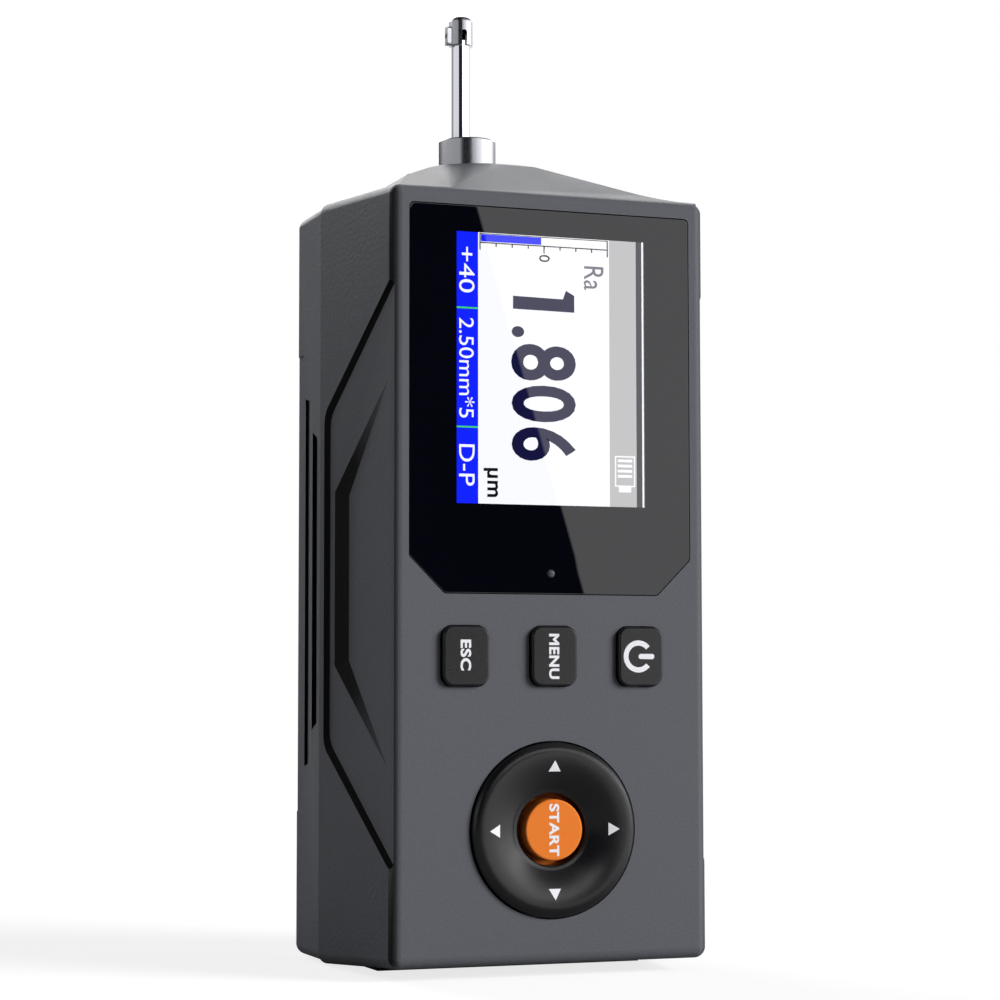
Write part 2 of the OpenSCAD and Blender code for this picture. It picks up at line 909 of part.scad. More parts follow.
module screw_inserts() {
  color("#b08d3c")
    at_posts()
      difference() {
        bar_y(0, 0, insert_r, ridge_d - insert_len, ridge_d);
        bar_y(0, 0, case_screw_r + seat, ridge_d - insert_len - cut, ridge_d + cut);
      }
}

// Display

module display_window() {
  color("#05060c")
    plate(glass_outline(0), 0, glass_t);
}

module lcd_module() {
  color("#e8e8ea")
    box(-lcd_w / 2, lcd_w / 2, front_wall, lcd_back, view_mid - lcd_h / 2, view_mid + lcd_h / 2);
}

module lcd_frame() {
  rim = 2.2;
  color("#38383a")
    difference() {
      box(
        -board_w / 2, board_w / 2, lcd_back, board_d,
        view_mid - lcd_h / 2 + rim, board_top
      );
      box(
        -board_w / 2 + rim, board_w / 2 - rim, lcd_back - cut, board_d + cut,
        view_mid - lcd_h / 2 + 2 * rim, board_top - rim
      );
    }
}

module light_pipe() {
  color("#d8dde0")
    bar_y(0, light_z, light_r, glass_t, board_d - 0.8);
}

module status_led() {
  color("#d9e6c8")
    box(-0.8, 0.8, board_d - 0.8, board_d, light_z - 0.5, light_z + 0.5);
}

// Keys

module key(i) {
  x = i * key_pitch;
  w = key_w - 2 * key_gap;
  h = key_h - 2 * key_gap;
  flange_d = front_wall + flange_gap;
  color("#262627") {
    plate(rounded_rect(x, key_z, w, h, key_r - key_gap), -key_proud + 0.4, flange_d + 0.1);
    plate(rounded_rect(x, key_z, w - 0.6, h - 0.6, key_r - key_gap - 0.3), -key_proud, flange_d);
    plate(
      rounded_rect(x, key_z, w + 2 * key_flange, h + 2 * key_flange, key_r),
      flange_d, flange_d + flange_t
    );
    bar_y(x, key_z, key_stem_r, flange_d, key_stem_d);
  }
}

module esc_key() {
  key(-1);
}

module menu_key() {
  key(0);
}

module power_key() {
  key(1);
}

// Ring with a dished face, a flange behind the front wall and two lugs with pivot pins
module dpad_ring() {
  r = pad_r - pad_gap;
  color("#2a2a2b")
    union() {
      turned_y(0, pad_z, [
        [pad_hole_r, 0.9], [pad_hole_r + 0.5, 0.5], [pad_hole_r + 4.5, -0.1], [r - 2.2, -pad_proud + 0.1],
        [r - 1.3, -pad_proud], [r - 0.5, -pad_proud + 0.25], [r, -pad_proud + 0.9],
        [r, pad_flange_d], [pad_flange_r, pad_flange_d], [pad_flange_r, pad_back],
        [pad_hole_r, pad_back]
      ]);
      for (s = [-1, 1]) {
        box(
          -lug_w / 2, lug_w / 2, pad_back - 0.5, pivot_d + 0.8,
          pad_z + (s > 0 ? lug_in : -lug_out), pad_z + (s > 0 ? lug_out : -lug_in)
        );
        bar_z(
          0, pivot_d, pivot_r,
          pad_z + (s > 0 ? lug_out - 0.5 : -gimbal_out + 0.4),
          pad_z + (s > 0 ? gimbal_out - 0.4 : -lug_out + 0.5)
        );
      }
    }
}

// Ring that lets the pad tilt two ways: pins along the width, bores along the height
module dpad_gimbal() {
  color("#8f9093")
    union() {
      difference() {
        turned_y(0, pad_z, [
          [gimbal_in, pivot_d - gimbal_t / 2], [gimbal_out, pivot_d - gimbal_t / 2],
          [gimbal_out, pivot_d + gimbal_t / 2], [gimbal_in, pivot_d + gimbal_t / 2]
        ]);
        bar_z(0, pivot_d, pivot_r + pin_gap, pad_z - gimbal_out - cut, pad_z + gimbal_out + cut);
      }
      for (x = [gimbal_out - 0.3, -ear_out + 0.1])
        bar_x(x, x + ear_out - gimbal_out + 0.2, pivot_d, pad_z, pivot_r);
    }
}

module dpad_cradle() {
  color("#9a9b9e")
    difference() {
      union() {
        turned_y(0, pad_z, [
          [ear_in, board_d - cradle_t], [ear_out, board_d - cradle_t],
          [ear_out, board_d], [ear_in, board_d]
        ]);
        for (x = [ear_in, -ear_out])
          box(x, x + ear_t, pivot_d - ear_up, board_d, pad_z - ear_w / 2, pad_z + ear_w / 2);
      }
      bar_x(-ear_out - cut, ear_out + cut, pivot_d, pad_z, pivot_r + pin_gap);
    }
}

module start_button() {
  color("#d77837")
    turned_y(0, pad_z, [
      [0, -start_proud], [start_r - 0.9, -start_proud], [start_r - 0.3, -start_proud + 0.15],
      [start_r, -start_proud + 0.6], [start_r, start_flange_d], [start_flange_r, start_flange_d],
      [start_flange_r, start_flange_d + start_flange_t], [0, start_flange_d + start_flange_t]
    ]);
}

// Board and what sits on it

module tact_switch(x, h, w, top, cap_r) {
  body_d0 = min(top + switch_cap, board_d - 0.8);
  box(x - w / 2, x + w / 2, body_d0, board_d, h - w / 2, h + w / 2);
  bar_y(x, h, cap_r, top, body_d0 + 0.1);
}

module key_switches() {
  color("#b9bbbe") {
    for (i = [-1, 0, 1])
      tact_switch(i * key_pitch, key_z, key_switch_w, switch_top, switch_cap_r);
    for (a = [0:90:270])
      tact_switch(
        pad_switch_r * cos(a), pad_z + pad_switch_r * sin(a), pad_switch_w, pad_switch_top, pad_cap_r
      );
    tact_switch(0, pad_z, key_switch_w, start_switch_top, switch_cap_r);
  }
}

module main_board() {
  color("#1f5a3a")
    difference() {
      box(-board_w / 2, board_w / 2, board_d, board_back, board_low, board_top);
      for (x = [-boss_x, boss_x], h = boss_heights)
        bar_y(x, h, board_screw_r + 0.2, board_d - cut, board_back + cut);
    }
}

module board_screws() {
  color("#c4c6c9")
    for (x = [-boss_x, boss_x], h = boss_heights)
      screw(x, h, board_screw_r, board_head_r, board_head_t, board_back, board_screw_len, -1);
}

// Flat part on the board's rear, around the place x, h
module on_board(x, h, w, height, t) {
  box(x - w / 2, x + w / 2, board_back, board_back + t, h - height / 2, h + height / 2);
}

module processor_chips() {
  color("#1c1c1e") {
    on_board(processor_x, board_top - processor_drop, processor_w, processor_w, processor_t);
    on_board(memory_x, board_top - memory_drop, memory_w, memory_h, memory_t);
    on_board(amplifier_x, board_top - amplifier_drop, amplifier_w, amplifier_h, amplifier_t);
    on_board(regulator_x, board_top - regulator_drop, regulator_w, regulator_w, regulator_t);
    for (i = [-1.5:1.5])
      on_board(filter_x + i * filter_pitch, board_top - filter_drop, filter_w, filter_h, filter_t);
  }
}

module shield_can() {
  color("#c9ccd0")
    on_board(can_x, can_low + can_h / 2, can_w, can_h, can_t);
}

module board_connector() {
  h = connector_low + connector_h / 2;
  color("#efe9d8")
    difference() {
      on_board(connector_x, h, connector_w, connector_h, connector_t);
      translate([0, connector_wall, 0])
        on_board(
          connector_x, h, connector_w - 2 * connector_wall, connector_h - 2 * connector_wall, connector_t
        );
    }
}

module buzzer() {
  color("#202022")
    difference() {
      bar_y(buzzer_x, buzzer_z, buzzer_r, board_back, board_back + buzzer_t);
      bar_y(
        buzzer_x, buzzer_z, buzzer_hole_r, board_back + buzzer_t - buzzer_hole_t, board_back + buzzer_t + cut
      );
    }
}

// Open shell whose mouth is flush with the lower end, with a tongue inside
module port_shell() {
  mouth = -board_back * spread + 0.1;
  middle = board_back + port_t / 2;
  color("#c3c6ca") {
    difference() {
      box(-port_w / 2, port_w / 2, board_back, board_back + port_t, mouth, mouth + port_len);
      box(
        -port_w / 2 + port_wall, port_w / 2 - port_wall, board_back + port_wall,
        board_back + port_t - port_wall, mouth - cut, mouth + port_len - port_back
      );
    }
    box(
      -tongue_w / 2, tongue_w / 2, middle - tongue_t / 2, middle + tongue_t / 2,
      mouth + tongue_gap, mouth + port_len - port_back / 2
    );
  }
}

// Battery

module battery_pack() {
  color("#3d6ea5")
    plate(
      rounded_rect(
        tray_x + tray_t + seat + battery_w / 2, tray_low + tray_t + seat + battery_h / 2,
        battery_w, battery_h, 2
      ),
      tray_back - tray_t - battery_t, tray_back - tray_t
    );
}

module battery_tray() {
  color("#4a4b4d")
    difference() {
      box(tray_x, tray_x + tray_w, tray_back - tray_t - battery_t * 0.7, tray_back, tray_low, tray_low + tray_h);
      box(
        tray_x + tray_t, tray_x + tray_w - tray_t, tray_back - tray_t - battery_t, tray_back - tray_t,
        tray_low + tray_t, tray_low + tray_h - tray_t
      );
    }
}

// Drive

module drive_frame() {
  color("#b4b7bb")
    difference() {
      union() {
        for (h = [frame_low, frame_top])
          box(axis_x - frame_w, axis_x + frame_w, frame_d0, frame_back + 0.5, h, h + frame_t);
        box(axis_x - frame_w, axis_x + frame_w, frame_back, frame_rear, frame_low, frame_top + frame_t);
      }
      for (x = [-rod_x, rod_x])
        bar_z(axis_x + x, axis_d, rod_r + seat, frame_low - cut, frame_top + frame_t + cut);
      bar_z(axis_x, screw_d, bearing_r + seat, frame_low - cut, frame_top + frame_t + cut);
      bar_z(axis_x, axis_d, pickup_hole_r, frame_top - cut, frame_top + frame_t + cut);
      for (x = [-stand_x, stand_x], h = stand_heights)
        bar_y(axis_x + x, h, drive_screw_r + 0.15, frame_back - cut, frame_rear + cut);
    }
}

module drive_screws() {
  color("#c4c6c9")
    for (x = [-stand_x, stand_x], h = stand_heights)
      screw(
        axis_x + x, h, drive_screw_r, drive_head_r, drive_head_t, frame_back, frame_back_t + drive_screw_len, 1
      );
}

module guide_rods() {
  color("#d5d7da")
    for (x = [-rod_x, rod_x])
      bar_z(axis_x + x, axis_d, rod_r, frame_low, frame_top + frame_t);
}

module screw_bearings() {
  color("#b08d3c")
    for (h = [frame_low, frame_top])
      difference() {
        bar_z(axis_x, screw_d, bearing_r, h, h + frame_t);
        bar_z(axis_x, screw_d, screw_r + pin_gap, h - cut, h + frame_t + cut);
      }
}

module lead_screw() {
  color("#c9cbce")
    bar_z(axis_x, screw_d, screw_r, motor_top + bracket_t + coupling_gap + 2, frame_top + frame_t);
}

// Sleeve that joins the motor's shaft to the lead screw
module shaft_coupling() {
  low = motor_top + coupling_gap;
  mid = motor_top + bracket_t + coupling_gap + 2;
  color("#8d9094")
    difference() {
      union() {
        bar_z(axis_x, screw_d, coupling_r, low, frame_low - coupling_gap);
        bar_z(axis_x, screw_d, screw_r, motor_top - 3, low + 0.5);
      }
      bar_z(axis_x, screw_d, screw_r + seat, mid, frame_low + cut);
    }
}

module gear_motor() {
  color("#a6a9ad")
    difference() {
      union() {
        bar_z(axis_x, screw_d, motor_r, motor_top - motor_len * 0.42, motor_top);
        bar_z(axis_x, screw_d, motor_r - 0.4, motor_top - motor_len, motor_top - motor_len * 0.42 + 0.5);
        bar_z(axis_x, screw_d, motor_r * 0.5, motor_top - motor_len - 1.2, motor_top - motor_len + 0.5);
      }
      bar_z(axis_x, screw_d, screw_r + pin_gap, motor_top - 3.5, motor_top + cut);
    }
}

// Channel under the drive frame that carries the motor by its gearbox face
module motor_bracket() {
  d0 = screw_d - motor_r;
  d1 = frame_rear;
  color("#b4b7bb")
    difference() {
      box(axis_x - bracket_w, axis_x + bracket_w, d0, d1, motor_top, frame_low);
      box(
        axis_x - bracket_w + bracket_t, axis_x + bracket_w - bracket_t, d0 - cut, d1 + cut,
        motor_top + bracket_t, frame_low + cut
      );
      bar_z(axis_x, screw_d, coupling_r + 0.3, motor_top - cut, motor_top + bracket_t + cut);
    }
}

module sensor_board() {
  color("#1f5a3a")
    box(
      sensor_x, sensor_x + sensor_t, frame_d0 + sensor_front, frame_back - sensor_rear,
      frame_low + sensor_end, frame_top + frame_t - sensor_end
    );
}

module limit_sensors() {
  color("#1c1c1e")
    for (h = [carriage_top - limit_drop, carriage_top - stroke - limit_drop])
      box(
        sensor_x + sensor_t, sensor_x + sensor_t + limit_w, axis_d - limit_d / 2, axis_d + limit_d / 2,
        h - limit_h / 2, h + limit_h / 2
      );
}

module carriage() {
  low = carriage_top - carriage_h;
  color("#c2c5c8")
    difference() {
      box(axis_x - carriage_w, axis_x + carriage_w, carriage_d0, carriage_d1, low, carriage_top);
      for (x = [-rod_x, rod_x])
        bar_z(axis_x + x, axis_d, rod_r + slide_gap, low - cut, carriage_top + cut);
      bar_z(axis_x, screw_d, nut_r + seat, low - cut, carriage_top + cut);
    }
}

module lead_nut() {
  low = carriage_top - carriage_h;
  color("#b08d3c")
    difference() {
      bar_z(axis_x, screw_d, nut_r, low, carriage_top);
      bar_z(axis_x, screw_d, screw_r + slide_gap, low - cut, carriage_top + cut);
    }
}

module pickup_socket() {
  color("#2c2c2e")
    difference() {
      bar_z(axis_x, axis_d, socket_r, carriage_top, carriage_top + socket_h);
      bar_z(axis_x, axis_d, plug_r + seat, carriage_top + socket_h - plug_len - 0.3, carriage_top + socket_h + cut);
    }
}

// Pickup

// Turned collar with a flange under the hump's top wall
module nose_bush() {
  chamfer = 0.3;
  color("#b9bcc0")
    translate([axis_x, yf(axis_d), zf(0)])
      rotate_extrude()
        polygon([
          [body_r + slide_gap, bush_seat - bush_flange_t], [bush_flange_r, bush_seat - bush_flange_t],
          [bush_flange_r, bush_seat], [bush_r, bush_seat], [bush_r, bush_top - chamfer],
          [bush_r - chamfer, bush_top], [body_r + slide_gap, bush_top]
        ]);
}

module pickup_body() {
  color("#9fa2a6")
    difference() {
      union() {
        bar_z(axis_x, axis_d, body_r, body_low, body_top);
        bar_z(axis_x, axis_d, plug_r, body_low - plug_len, body_low + 0.5);
      }
      bar_z(tube_x, axis_d, tube_r + seat, tube_low, body_top + cut);
      bar_z(tube_x, axis_d, coil_out + seat, coil_low, coil_low + coil_len);
      bar_z(tube_x, axis_d, coil_in, coil_low - 1, body_top);
    }
}

module sensor_coil() {
  color("#a8632e")
    difference() {
      bar_z(tube_x, axis_d, coil_out, coil_low, coil_low + coil_len);
      bar_z(tube_x, axis_d, coil_in, coil_low - cut, coil_low + coil_len + cut);
    }
}

module pickup_tube() {
  color("#cfd2d6")
    difference() {
      bar_z(tube_x, axis_d, tube_r, tube_low, head_low);
      bar_z(tube_x, axis_d, tube_bore, tube_low - cut, head_low + cut);
      bar_y(tube_x, pivot_z, pivot_pin_r + seat, axis_d - 2 * tube_r, axis_d + 2 * tube_r);
    }
}

// Head with a domed top, a bore for the stylus arm, a flat for the skid and a front slot
module pickup_head() {
  dome = 0.9;
  color("#c4c7cb")
    difference() {
      translate([tube_x, yf(axis_d), zf(head_low)])
        rotate_extrude()
          polygon([
            [0, 0], [head_r, 0], [head_r, head_len - dome], [head_r - 0.3, head_len - 0.35],
            [head_r - 0.9, head_len - 0.08], [0, head_len]
          ]);
      bar_z(tube_x, axis_d, tube_bore, head_low - cut, stylus_top + 0.5);
      bar_x(tube_x - head_r - cut, tube_x, axis_d, stylus_z, tip_hole_r);
      box(
        tube_x - 0.5, tube_x + 0.5, axis_d - head_r - cut, axis_d,
        head_low + 1.2, head_low + 3.4
      );
      box(
        tube_x - head_r - cut, tube_x - head_r + 0.45, axis_d - skid_w / 2 - seat,
        axis_d + skid_w / 2 + seat, head_low - cut, head_low + skid_h + seat
      );
    }
}

// Polished foot that rests on the work, with a hole for the stylus tip
module skid() {
  color("#8c8f94")
    difference() {
      translate([skid_x, yf(axis_d - skid_w / 2), zf(head_low)])
        rotate([90, 0, 90])
          linear_extrude(tube_x - head_r + 0.45 - skid_x)
            polygon(rounded_rect(skid_w / 2, skid_h / 2, skid_w, skid_h, 0.7));
      bar_x(skid_x - cut, tube_x, axis_d, stylus_z, tip_hole_r);
    }
}

module pivot_pin() {
  color("#b08d3c")
    bar_y(tube_x, pivot_z, pivot_pin_r, axis_d - tube_r, axis_d + tube_r);
}

module stylus_arm() {
  color("#aeb1b5")
    difference() {
      union() {
        bar_z(tube_x, axis_d, arm_r, arm_low, stylus_top);
        bar_y(tube_x, pivot_z, 0.75, axis_d - 0.45, axis_d + 0.45);
      }
      bar_y(tube_x, pivot_z, pivot_pin_r + pin_gap, axis_d - 2, axis_d + 2);
      bar_x(tube_x - cut, tube_x, axis_d, stylus_z, tip_r + seat);
    }
}

// Diamond cone on a shank that points out through the skid
module stylus_tip() {
  out = skid_x - tip_proud;
  color("#e6e9ee")
    translate([tube_x, yf(axis_d), zf(stylus_z)])
      rotate([0, -90, 0])
        rotate_extrude()
          polygon([
            [0, 0], [tip_r, 0], [tip_r, tube_x - out - 0.6], [0.02, tube_x - out], [0, tube_x - out]
          ]);
}

front_shell();
rear_shell();
case_screws();
screw_inserts();
display_window();
lcd_module();
lcd_frame();
light_pipe();
esc_key();
menu_key();
power_key();
dpad_ring();
dpad_gimbal();
dpad_cradle();
start_button();
key_switches();
status_led();
main_board();
board_screws();
processor_chips();
shield_can();
board_connector();
buzzer();
port_shell();
battery_pack();
battery_tray();
drive_frame();
drive_screws();
guide_rods();
lead_screw();
screw_bearings();
shaft_coupling();
gear_motor();
motor_bracket();
sensor_board();
limit_sensors();
carriage();
lead_nut();
pickup_socket();
nose_bush();
pickup_body();
sensor_coil();
pickup_tube();
pickup_head();
skid();
pivot_pin();
stylus_arm();
stylus_tip();
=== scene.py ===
# %% [markdown]
# A surface roughness tester stands upright on its heel: a two-shell plastic case with a black display
# window, three keys, a direction pad round an orange start button, and a chromed pickup that slides out
# of a bush on a hump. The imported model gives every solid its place, so this lesson dresses it: it rounds
# what a mould rounds, prints what is printed, and gives each solid the finish of its real material.

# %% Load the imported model
import json
import math
import bpy
import bmesh
from mathutils import Matrix, Vector

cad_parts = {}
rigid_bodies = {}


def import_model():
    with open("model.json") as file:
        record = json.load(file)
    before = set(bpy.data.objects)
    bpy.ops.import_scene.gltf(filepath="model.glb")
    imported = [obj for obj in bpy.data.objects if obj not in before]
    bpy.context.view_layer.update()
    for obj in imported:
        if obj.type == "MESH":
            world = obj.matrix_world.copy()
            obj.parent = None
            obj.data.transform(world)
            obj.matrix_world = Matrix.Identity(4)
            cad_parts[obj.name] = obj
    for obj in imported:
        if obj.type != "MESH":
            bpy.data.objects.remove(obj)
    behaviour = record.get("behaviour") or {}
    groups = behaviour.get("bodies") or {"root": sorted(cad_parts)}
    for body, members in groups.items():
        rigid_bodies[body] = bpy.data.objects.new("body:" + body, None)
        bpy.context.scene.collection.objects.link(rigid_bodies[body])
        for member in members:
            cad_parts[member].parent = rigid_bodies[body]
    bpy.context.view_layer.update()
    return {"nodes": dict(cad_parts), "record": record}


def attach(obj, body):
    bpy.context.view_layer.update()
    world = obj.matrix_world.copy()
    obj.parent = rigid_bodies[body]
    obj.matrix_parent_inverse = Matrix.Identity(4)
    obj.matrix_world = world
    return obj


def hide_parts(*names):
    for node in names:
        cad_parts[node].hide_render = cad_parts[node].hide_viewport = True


for spare in list(bpy.data.objects):
    bpy.data.objects.remove(spare)
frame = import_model()
scene = bpy.context.scene
nodes = frame["nodes"]

# %% [markdown]
# The drawing of the case measures everything from the front face: x to the right, h up from the front's
# lower edge and d into the case, all in millimetres. One function turns such a point into metres in the
# shared frame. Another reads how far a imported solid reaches, so that a new piece takes its place from the
# model. Copied numbers would go wrong with the model's next change.

# %% Places on the case
MM = 0.001
# The front face ends this high above the heel that the case stands on.
FOOT_Z = 2.363
FRONT_Y = min(v.co.y for v in nodes["front_shell"].data.vertices) / MM


def at(x, h, d):
    """A point x right, h up and d into the case, in mm, as a place in metres."""
    return Vector((x, d + FRONT_Y, h + FOOT_Z)) * MM


def span(name):
    """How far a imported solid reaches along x, h and d, in mm, each as its low and its high end."""
    places = [v.co / MM for v in nodes[name].data.vertices]
    x, y, z = [(min(p[i] for p in places), max(p[i] for p in places)) for i in range(3)]
    return x, (z[0] - FOOT_Z, z[1] - FOOT_Z), (y[0] - FRONT_Y, y[1] - FRONT_Y)


print("the front face lies at y =", round(at(0, 0, 0).y, 5), "m")

# %% [markdown]
# Colours are read off real things as sRGB hex values, while shaders add up light in linear numbers, so
# one function turns the first into the second. A second small function adds any node with its settings,
# values and links, which keeps each material below about as short as its recipe.

# %% Colours and nodes


def linear(hex_code):
    """An sRGB hex colour as linear red, green and blue, with an alpha of 1."""
    parts = [int(hex_code[i:i + 2], 16) / 255 for i in (1, 3, 5)]
    parts = [p / 12.92 if p <= 0.04045 else ((p + 0.055) / 1.055) ** 2.4 for p in parts]
    return (*parts, 1.0)


def add_node(tree, kind, inputs=None, **settings):
    """Adds a node: settings are its properties, inputs the values of its sockets or what feeds them."""
    made = tree.nodes.new(kind)
    for name, value in settings.items():
        setattr(made, name, value)
    for key, value in (inputs or {}).items():
        if isinstance(value, bpy.types.NodeSocket):
            tree.links.new(value, made.inputs[key])
        else:
            made.inputs[key].default_value = value
    return made


def new_material(name, colour, **sockets):
    """A material with its shader's sockets set; returns it, its tree, its shader and Object coordinates."""
    made = bpy.data.materials.new(name)
    made.use_nodes = True
    tree = made.node_tree
    shader = tree.nodes["Principled BSDF"]
    shader.inputs["Base Color"].default_value = linear(colour)
    for key, value in sockets.items():
        shader.inputs[key.replace("_", " ")].default_value = value
    place = add_node(tree, "ShaderNodeTexCoord").outputs["Object"]
    return made, tree, shader, place


def toned(colour, share):
    """A hex colour in linear light, with its brightness multiplied by a share."""
    return (*[min(1, share * v) for v in linear(colour)[:3]], 1)


def per_mm(size):
    """The scale of a pattern whose features are size mm wide."""
    return 1 / (size * MM)


print("mid grey #808080 is", round(linear("#808080")[0], 3), "in linear light")

# %% [markdown]
# Moulded ABS leaves a spark-eroded mould with a fine, even grain that breaks up its highlights. The
# case's sides have a coarser, leather-like grain that a hand can hold. Grain could be modelled, but it is
# far too fine for that, so both are bumps on one material: a noise everywhere, and rounded cells where
# the surface looks sideways. Real mould grit is under 0.1 mm, and it is drawn coarser here, so that it
# shows.

# %% Case plastic
FRONT_GREY = "#5b5d62"
# The rear grey is lighter than the front's as painted light, for the rim lamp that grazes the rear side
# walls.
REAR_GREY_WITH_PAINTED_LIGHT = "#64666b"
SATIN = 0.42
# Width and depth of the two grains in mm.
FINE_GRAIN = 0.4
FINE_DEPTH = 0.05
LEATHER_GRAIN = 0.6
LEATHER_DEPTH = 0.04
# The leather grain fades in as the x part of a surface's normal grows from the first value to the second.
SIDEWAYS = (0.55, 0.8)
# The roughness wanders by this much over patches of this width in mm.
PATCH = 14.0
PATCH_ROUGHNESS = 0.05
# The tone changes by this share with the fine grain.
GRAIN_TONE = 0.14


def case_plastic(name, colour, roughness, sheen=0.15):
    """Moulded grey ABS: a soft sheen, fine grain on the front and leather grain on the sides."""
    made, tree, shader, place = new_material(name, colour, Roughness=roughness, IOR=1.52,
                                             Specular_IOR_Level=sheen)
    fine = add_node(tree, "ShaderNodeTexNoise", {"Vector": place, "Scale": per_mm(FINE_GRAIN),
                                                 "Detail": 2.0})
    cells = add_node(tree, "ShaderNodeTexVoronoi", {"Vector": place, "Scale": per_mm(LEATHER_GRAIN)},
                     feature="SMOOTH_F1")
    turn = add_node(tree, "ShaderNodeNewGeometry")
    facing = add_node(tree, "ShaderNodeSeparateXYZ", {"Vector": turn.outputs["True Normal"]})
    sideways = add_node(tree, "ShaderNodeMath", {0: facing.outputs["X"]}, operation="ABSOLUTE")
    mask = add_node(tree, "ShaderNodeMapRange", {"Value": sideways.outputs[0], "From Min": SIDEWAYS[0],
                                                 "From Max": SIDEWAYS[1]})
    grain = add_node(tree, "ShaderNodeBump", {"Height": fine.outputs["Fac"], "Distance": FINE_DEPTH * MM,
                                              "Strength": 0.55})
    leather = add_node(tree, "ShaderNodeBump", {"Height": cells.outputs["Distance"],
                                                "Distance": LEATHER_DEPTH * MM,
                                                "Strength": mask.outputs["Result"],
                                                "Normal": grain.outputs["Normal"]})
    tree.links.new(leather.outputs["Normal"], shader.inputs["Normal"])
    wide = add_node(tree, "ShaderNodeTexNoise", {"Vector": place, "Scale": per_mm(PATCH), "Detail": 3.0})
    gloss = add_node(tree, "ShaderNodeMapRange", {"Value": wide.outputs["Fac"],
                                                  "To Min": roughness - PATCH_ROUGHNESS,
                                                  "To Max": roughness + PATCH_ROUGHNESS})
    tree.links.new(gloss.outputs["Result"], shader.inputs["Roughness"])
    speckle = add_node(tree, "ShaderNodeMix", {"Factor": fine.outputs["Fac"],
                                               "A": toned(colour, 1 - GRAIN_TONE),
                                               "B": toned(colour, 1 + GRAIN_TONE)}, data_type="RGBA")
    tree.links.new(speckle.outputs["Result"], shader.inputs["Base Color"])
    return made


front_abs = case_plastic("grained_grey_ABS_front", FRONT_GREY, SATIN)
rear_abs_with_painted_light = case_plastic("grained_grey_ABS_rear_with_painted_light", REAR_GREY_WITH_PAINTED_LIGHT, SATIN)
print("case plastics:", front_abs.name, rear_abs_with_painted_light.name)

# %% [markdown]
# Two places of the front shell get painted shade by degrees: the scoop, whose rear slope lies deep under
# the side panel, and the rounding from the front to the sides, painted into a dark line. Each is the case
# plastic again, darkened with painted shade by a range: along the scoop's depth, and by how far the
# rounding has turned to the side. Light alone leaves both too pale, because the lamps are broad.

# %% Case plastic with painted shade
# The colour of the painted shade.
PAINTED_SHADE = "#060608"
# The scoop's painted shade grows between these depths in mm, from the first share to the second.
SCOOP_D = (6, 22)
SCOOP_SHADE = (0.15, 0.98)
# The rounding's painted shade grows as the x part of its normal does, up to this share.
ROUNDING_TURN = (0.3, 0.8)
ROUNDING_SHADE = 0.95


def paint_shade(material, amount):
    """Darkens a case plastic with painted shade, by an amount from 0 to 1 that a node gives."""
    tree = material.node_tree
    shader = tree.nodes["Principled BSDF"]
    plain = shader.inputs["Base Color"].links[0].from_socket
    painted_shade_mix = add_node(tree, "ShaderNodeMix", {"Factor": amount, "A": plain, "B": linear(PAINTED_SHADE)},
                    data_type="RGBA")
    tree.links.new(painted_shade_mix.outputs["Result"], shader.inputs["Base Color"])


# Painted shade: the scoop's plastic darkens with depth under the side panel.
scoop_painted_shade_abs = case_plastic("grained_grey_ABS_scoop_painted_shade", FRONT_GREY, 0.6, 0.03)
tree = scoop_painted_shade_abs.node_tree
spot = add_node(tree, "ShaderNodeTexCoord").outputs["Object"]
inwards = add_node(tree, "ShaderNodeSeparateXYZ", {"Vector": spot}).outputs["Y"]
scoop_painted_shade_amount = add_node(tree, "ShaderNodeMapRange", {"Value": inwards, "From Min": at(0, 0, SCOOP_D[0]).y,
                                                    "From Max": at(0, 0, SCOOP_D[1]).y,
                                                    "To Min": SCOOP_SHADE[0], "To Max": SCOOP_SHADE[1]})
paint_shade(scoop_painted_shade_abs, scoop_painted_shade_amount.outputs["Result"])
# Painted shade: the rounding's plastic darkens as it turns to the side.
rounding_painted_shade_abs = case_plastic("grained_grey_ABS_edge_painted_shade", FRONT_GREY, SATIN)
tree = rounding_painted_shade_abs.node_tree
normal = add_node(tree, "ShaderNodeNewGeometry").outputs["Normal"]
across = add_node(tree, "ShaderNodeSeparateXYZ", {"Vector": normal}).outputs["X"]
either_side = add_node(tree, "ShaderNodeMath", {0: across}, operation="ABSOLUTE").outputs[0]
rounding_painted_shade_amount = add_node(tree, "ShaderNodeMapRange", {"Value": either_side, "From Min": ROUNDING_TURN[0],
                                                    "From Max": ROUNDING_TURN[1], "To Max": ROUNDING_SHADE})
paint_shade(rounding_painted_shade_abs, rounding_painted_shade_amount.outputs["Result"])
print("shaded plastics:", scoop_painted_shade_abs.name, rounding_painted_shade_abs.name)

# %% [markdown]
# The other solids each get the finish of what they are made of. Most differ in colour, in how metallic
# and rough they are, and in a pattern of one size, such as tool marks, a mould's grit or the ripples of a
# wrap. One function lays such a pattern as a bump and as a slight change of tone, stretched along an axis
# where a tool or a roller ran, so that each finish is one line of its sizes.

# %% A finish from a pattern of one size


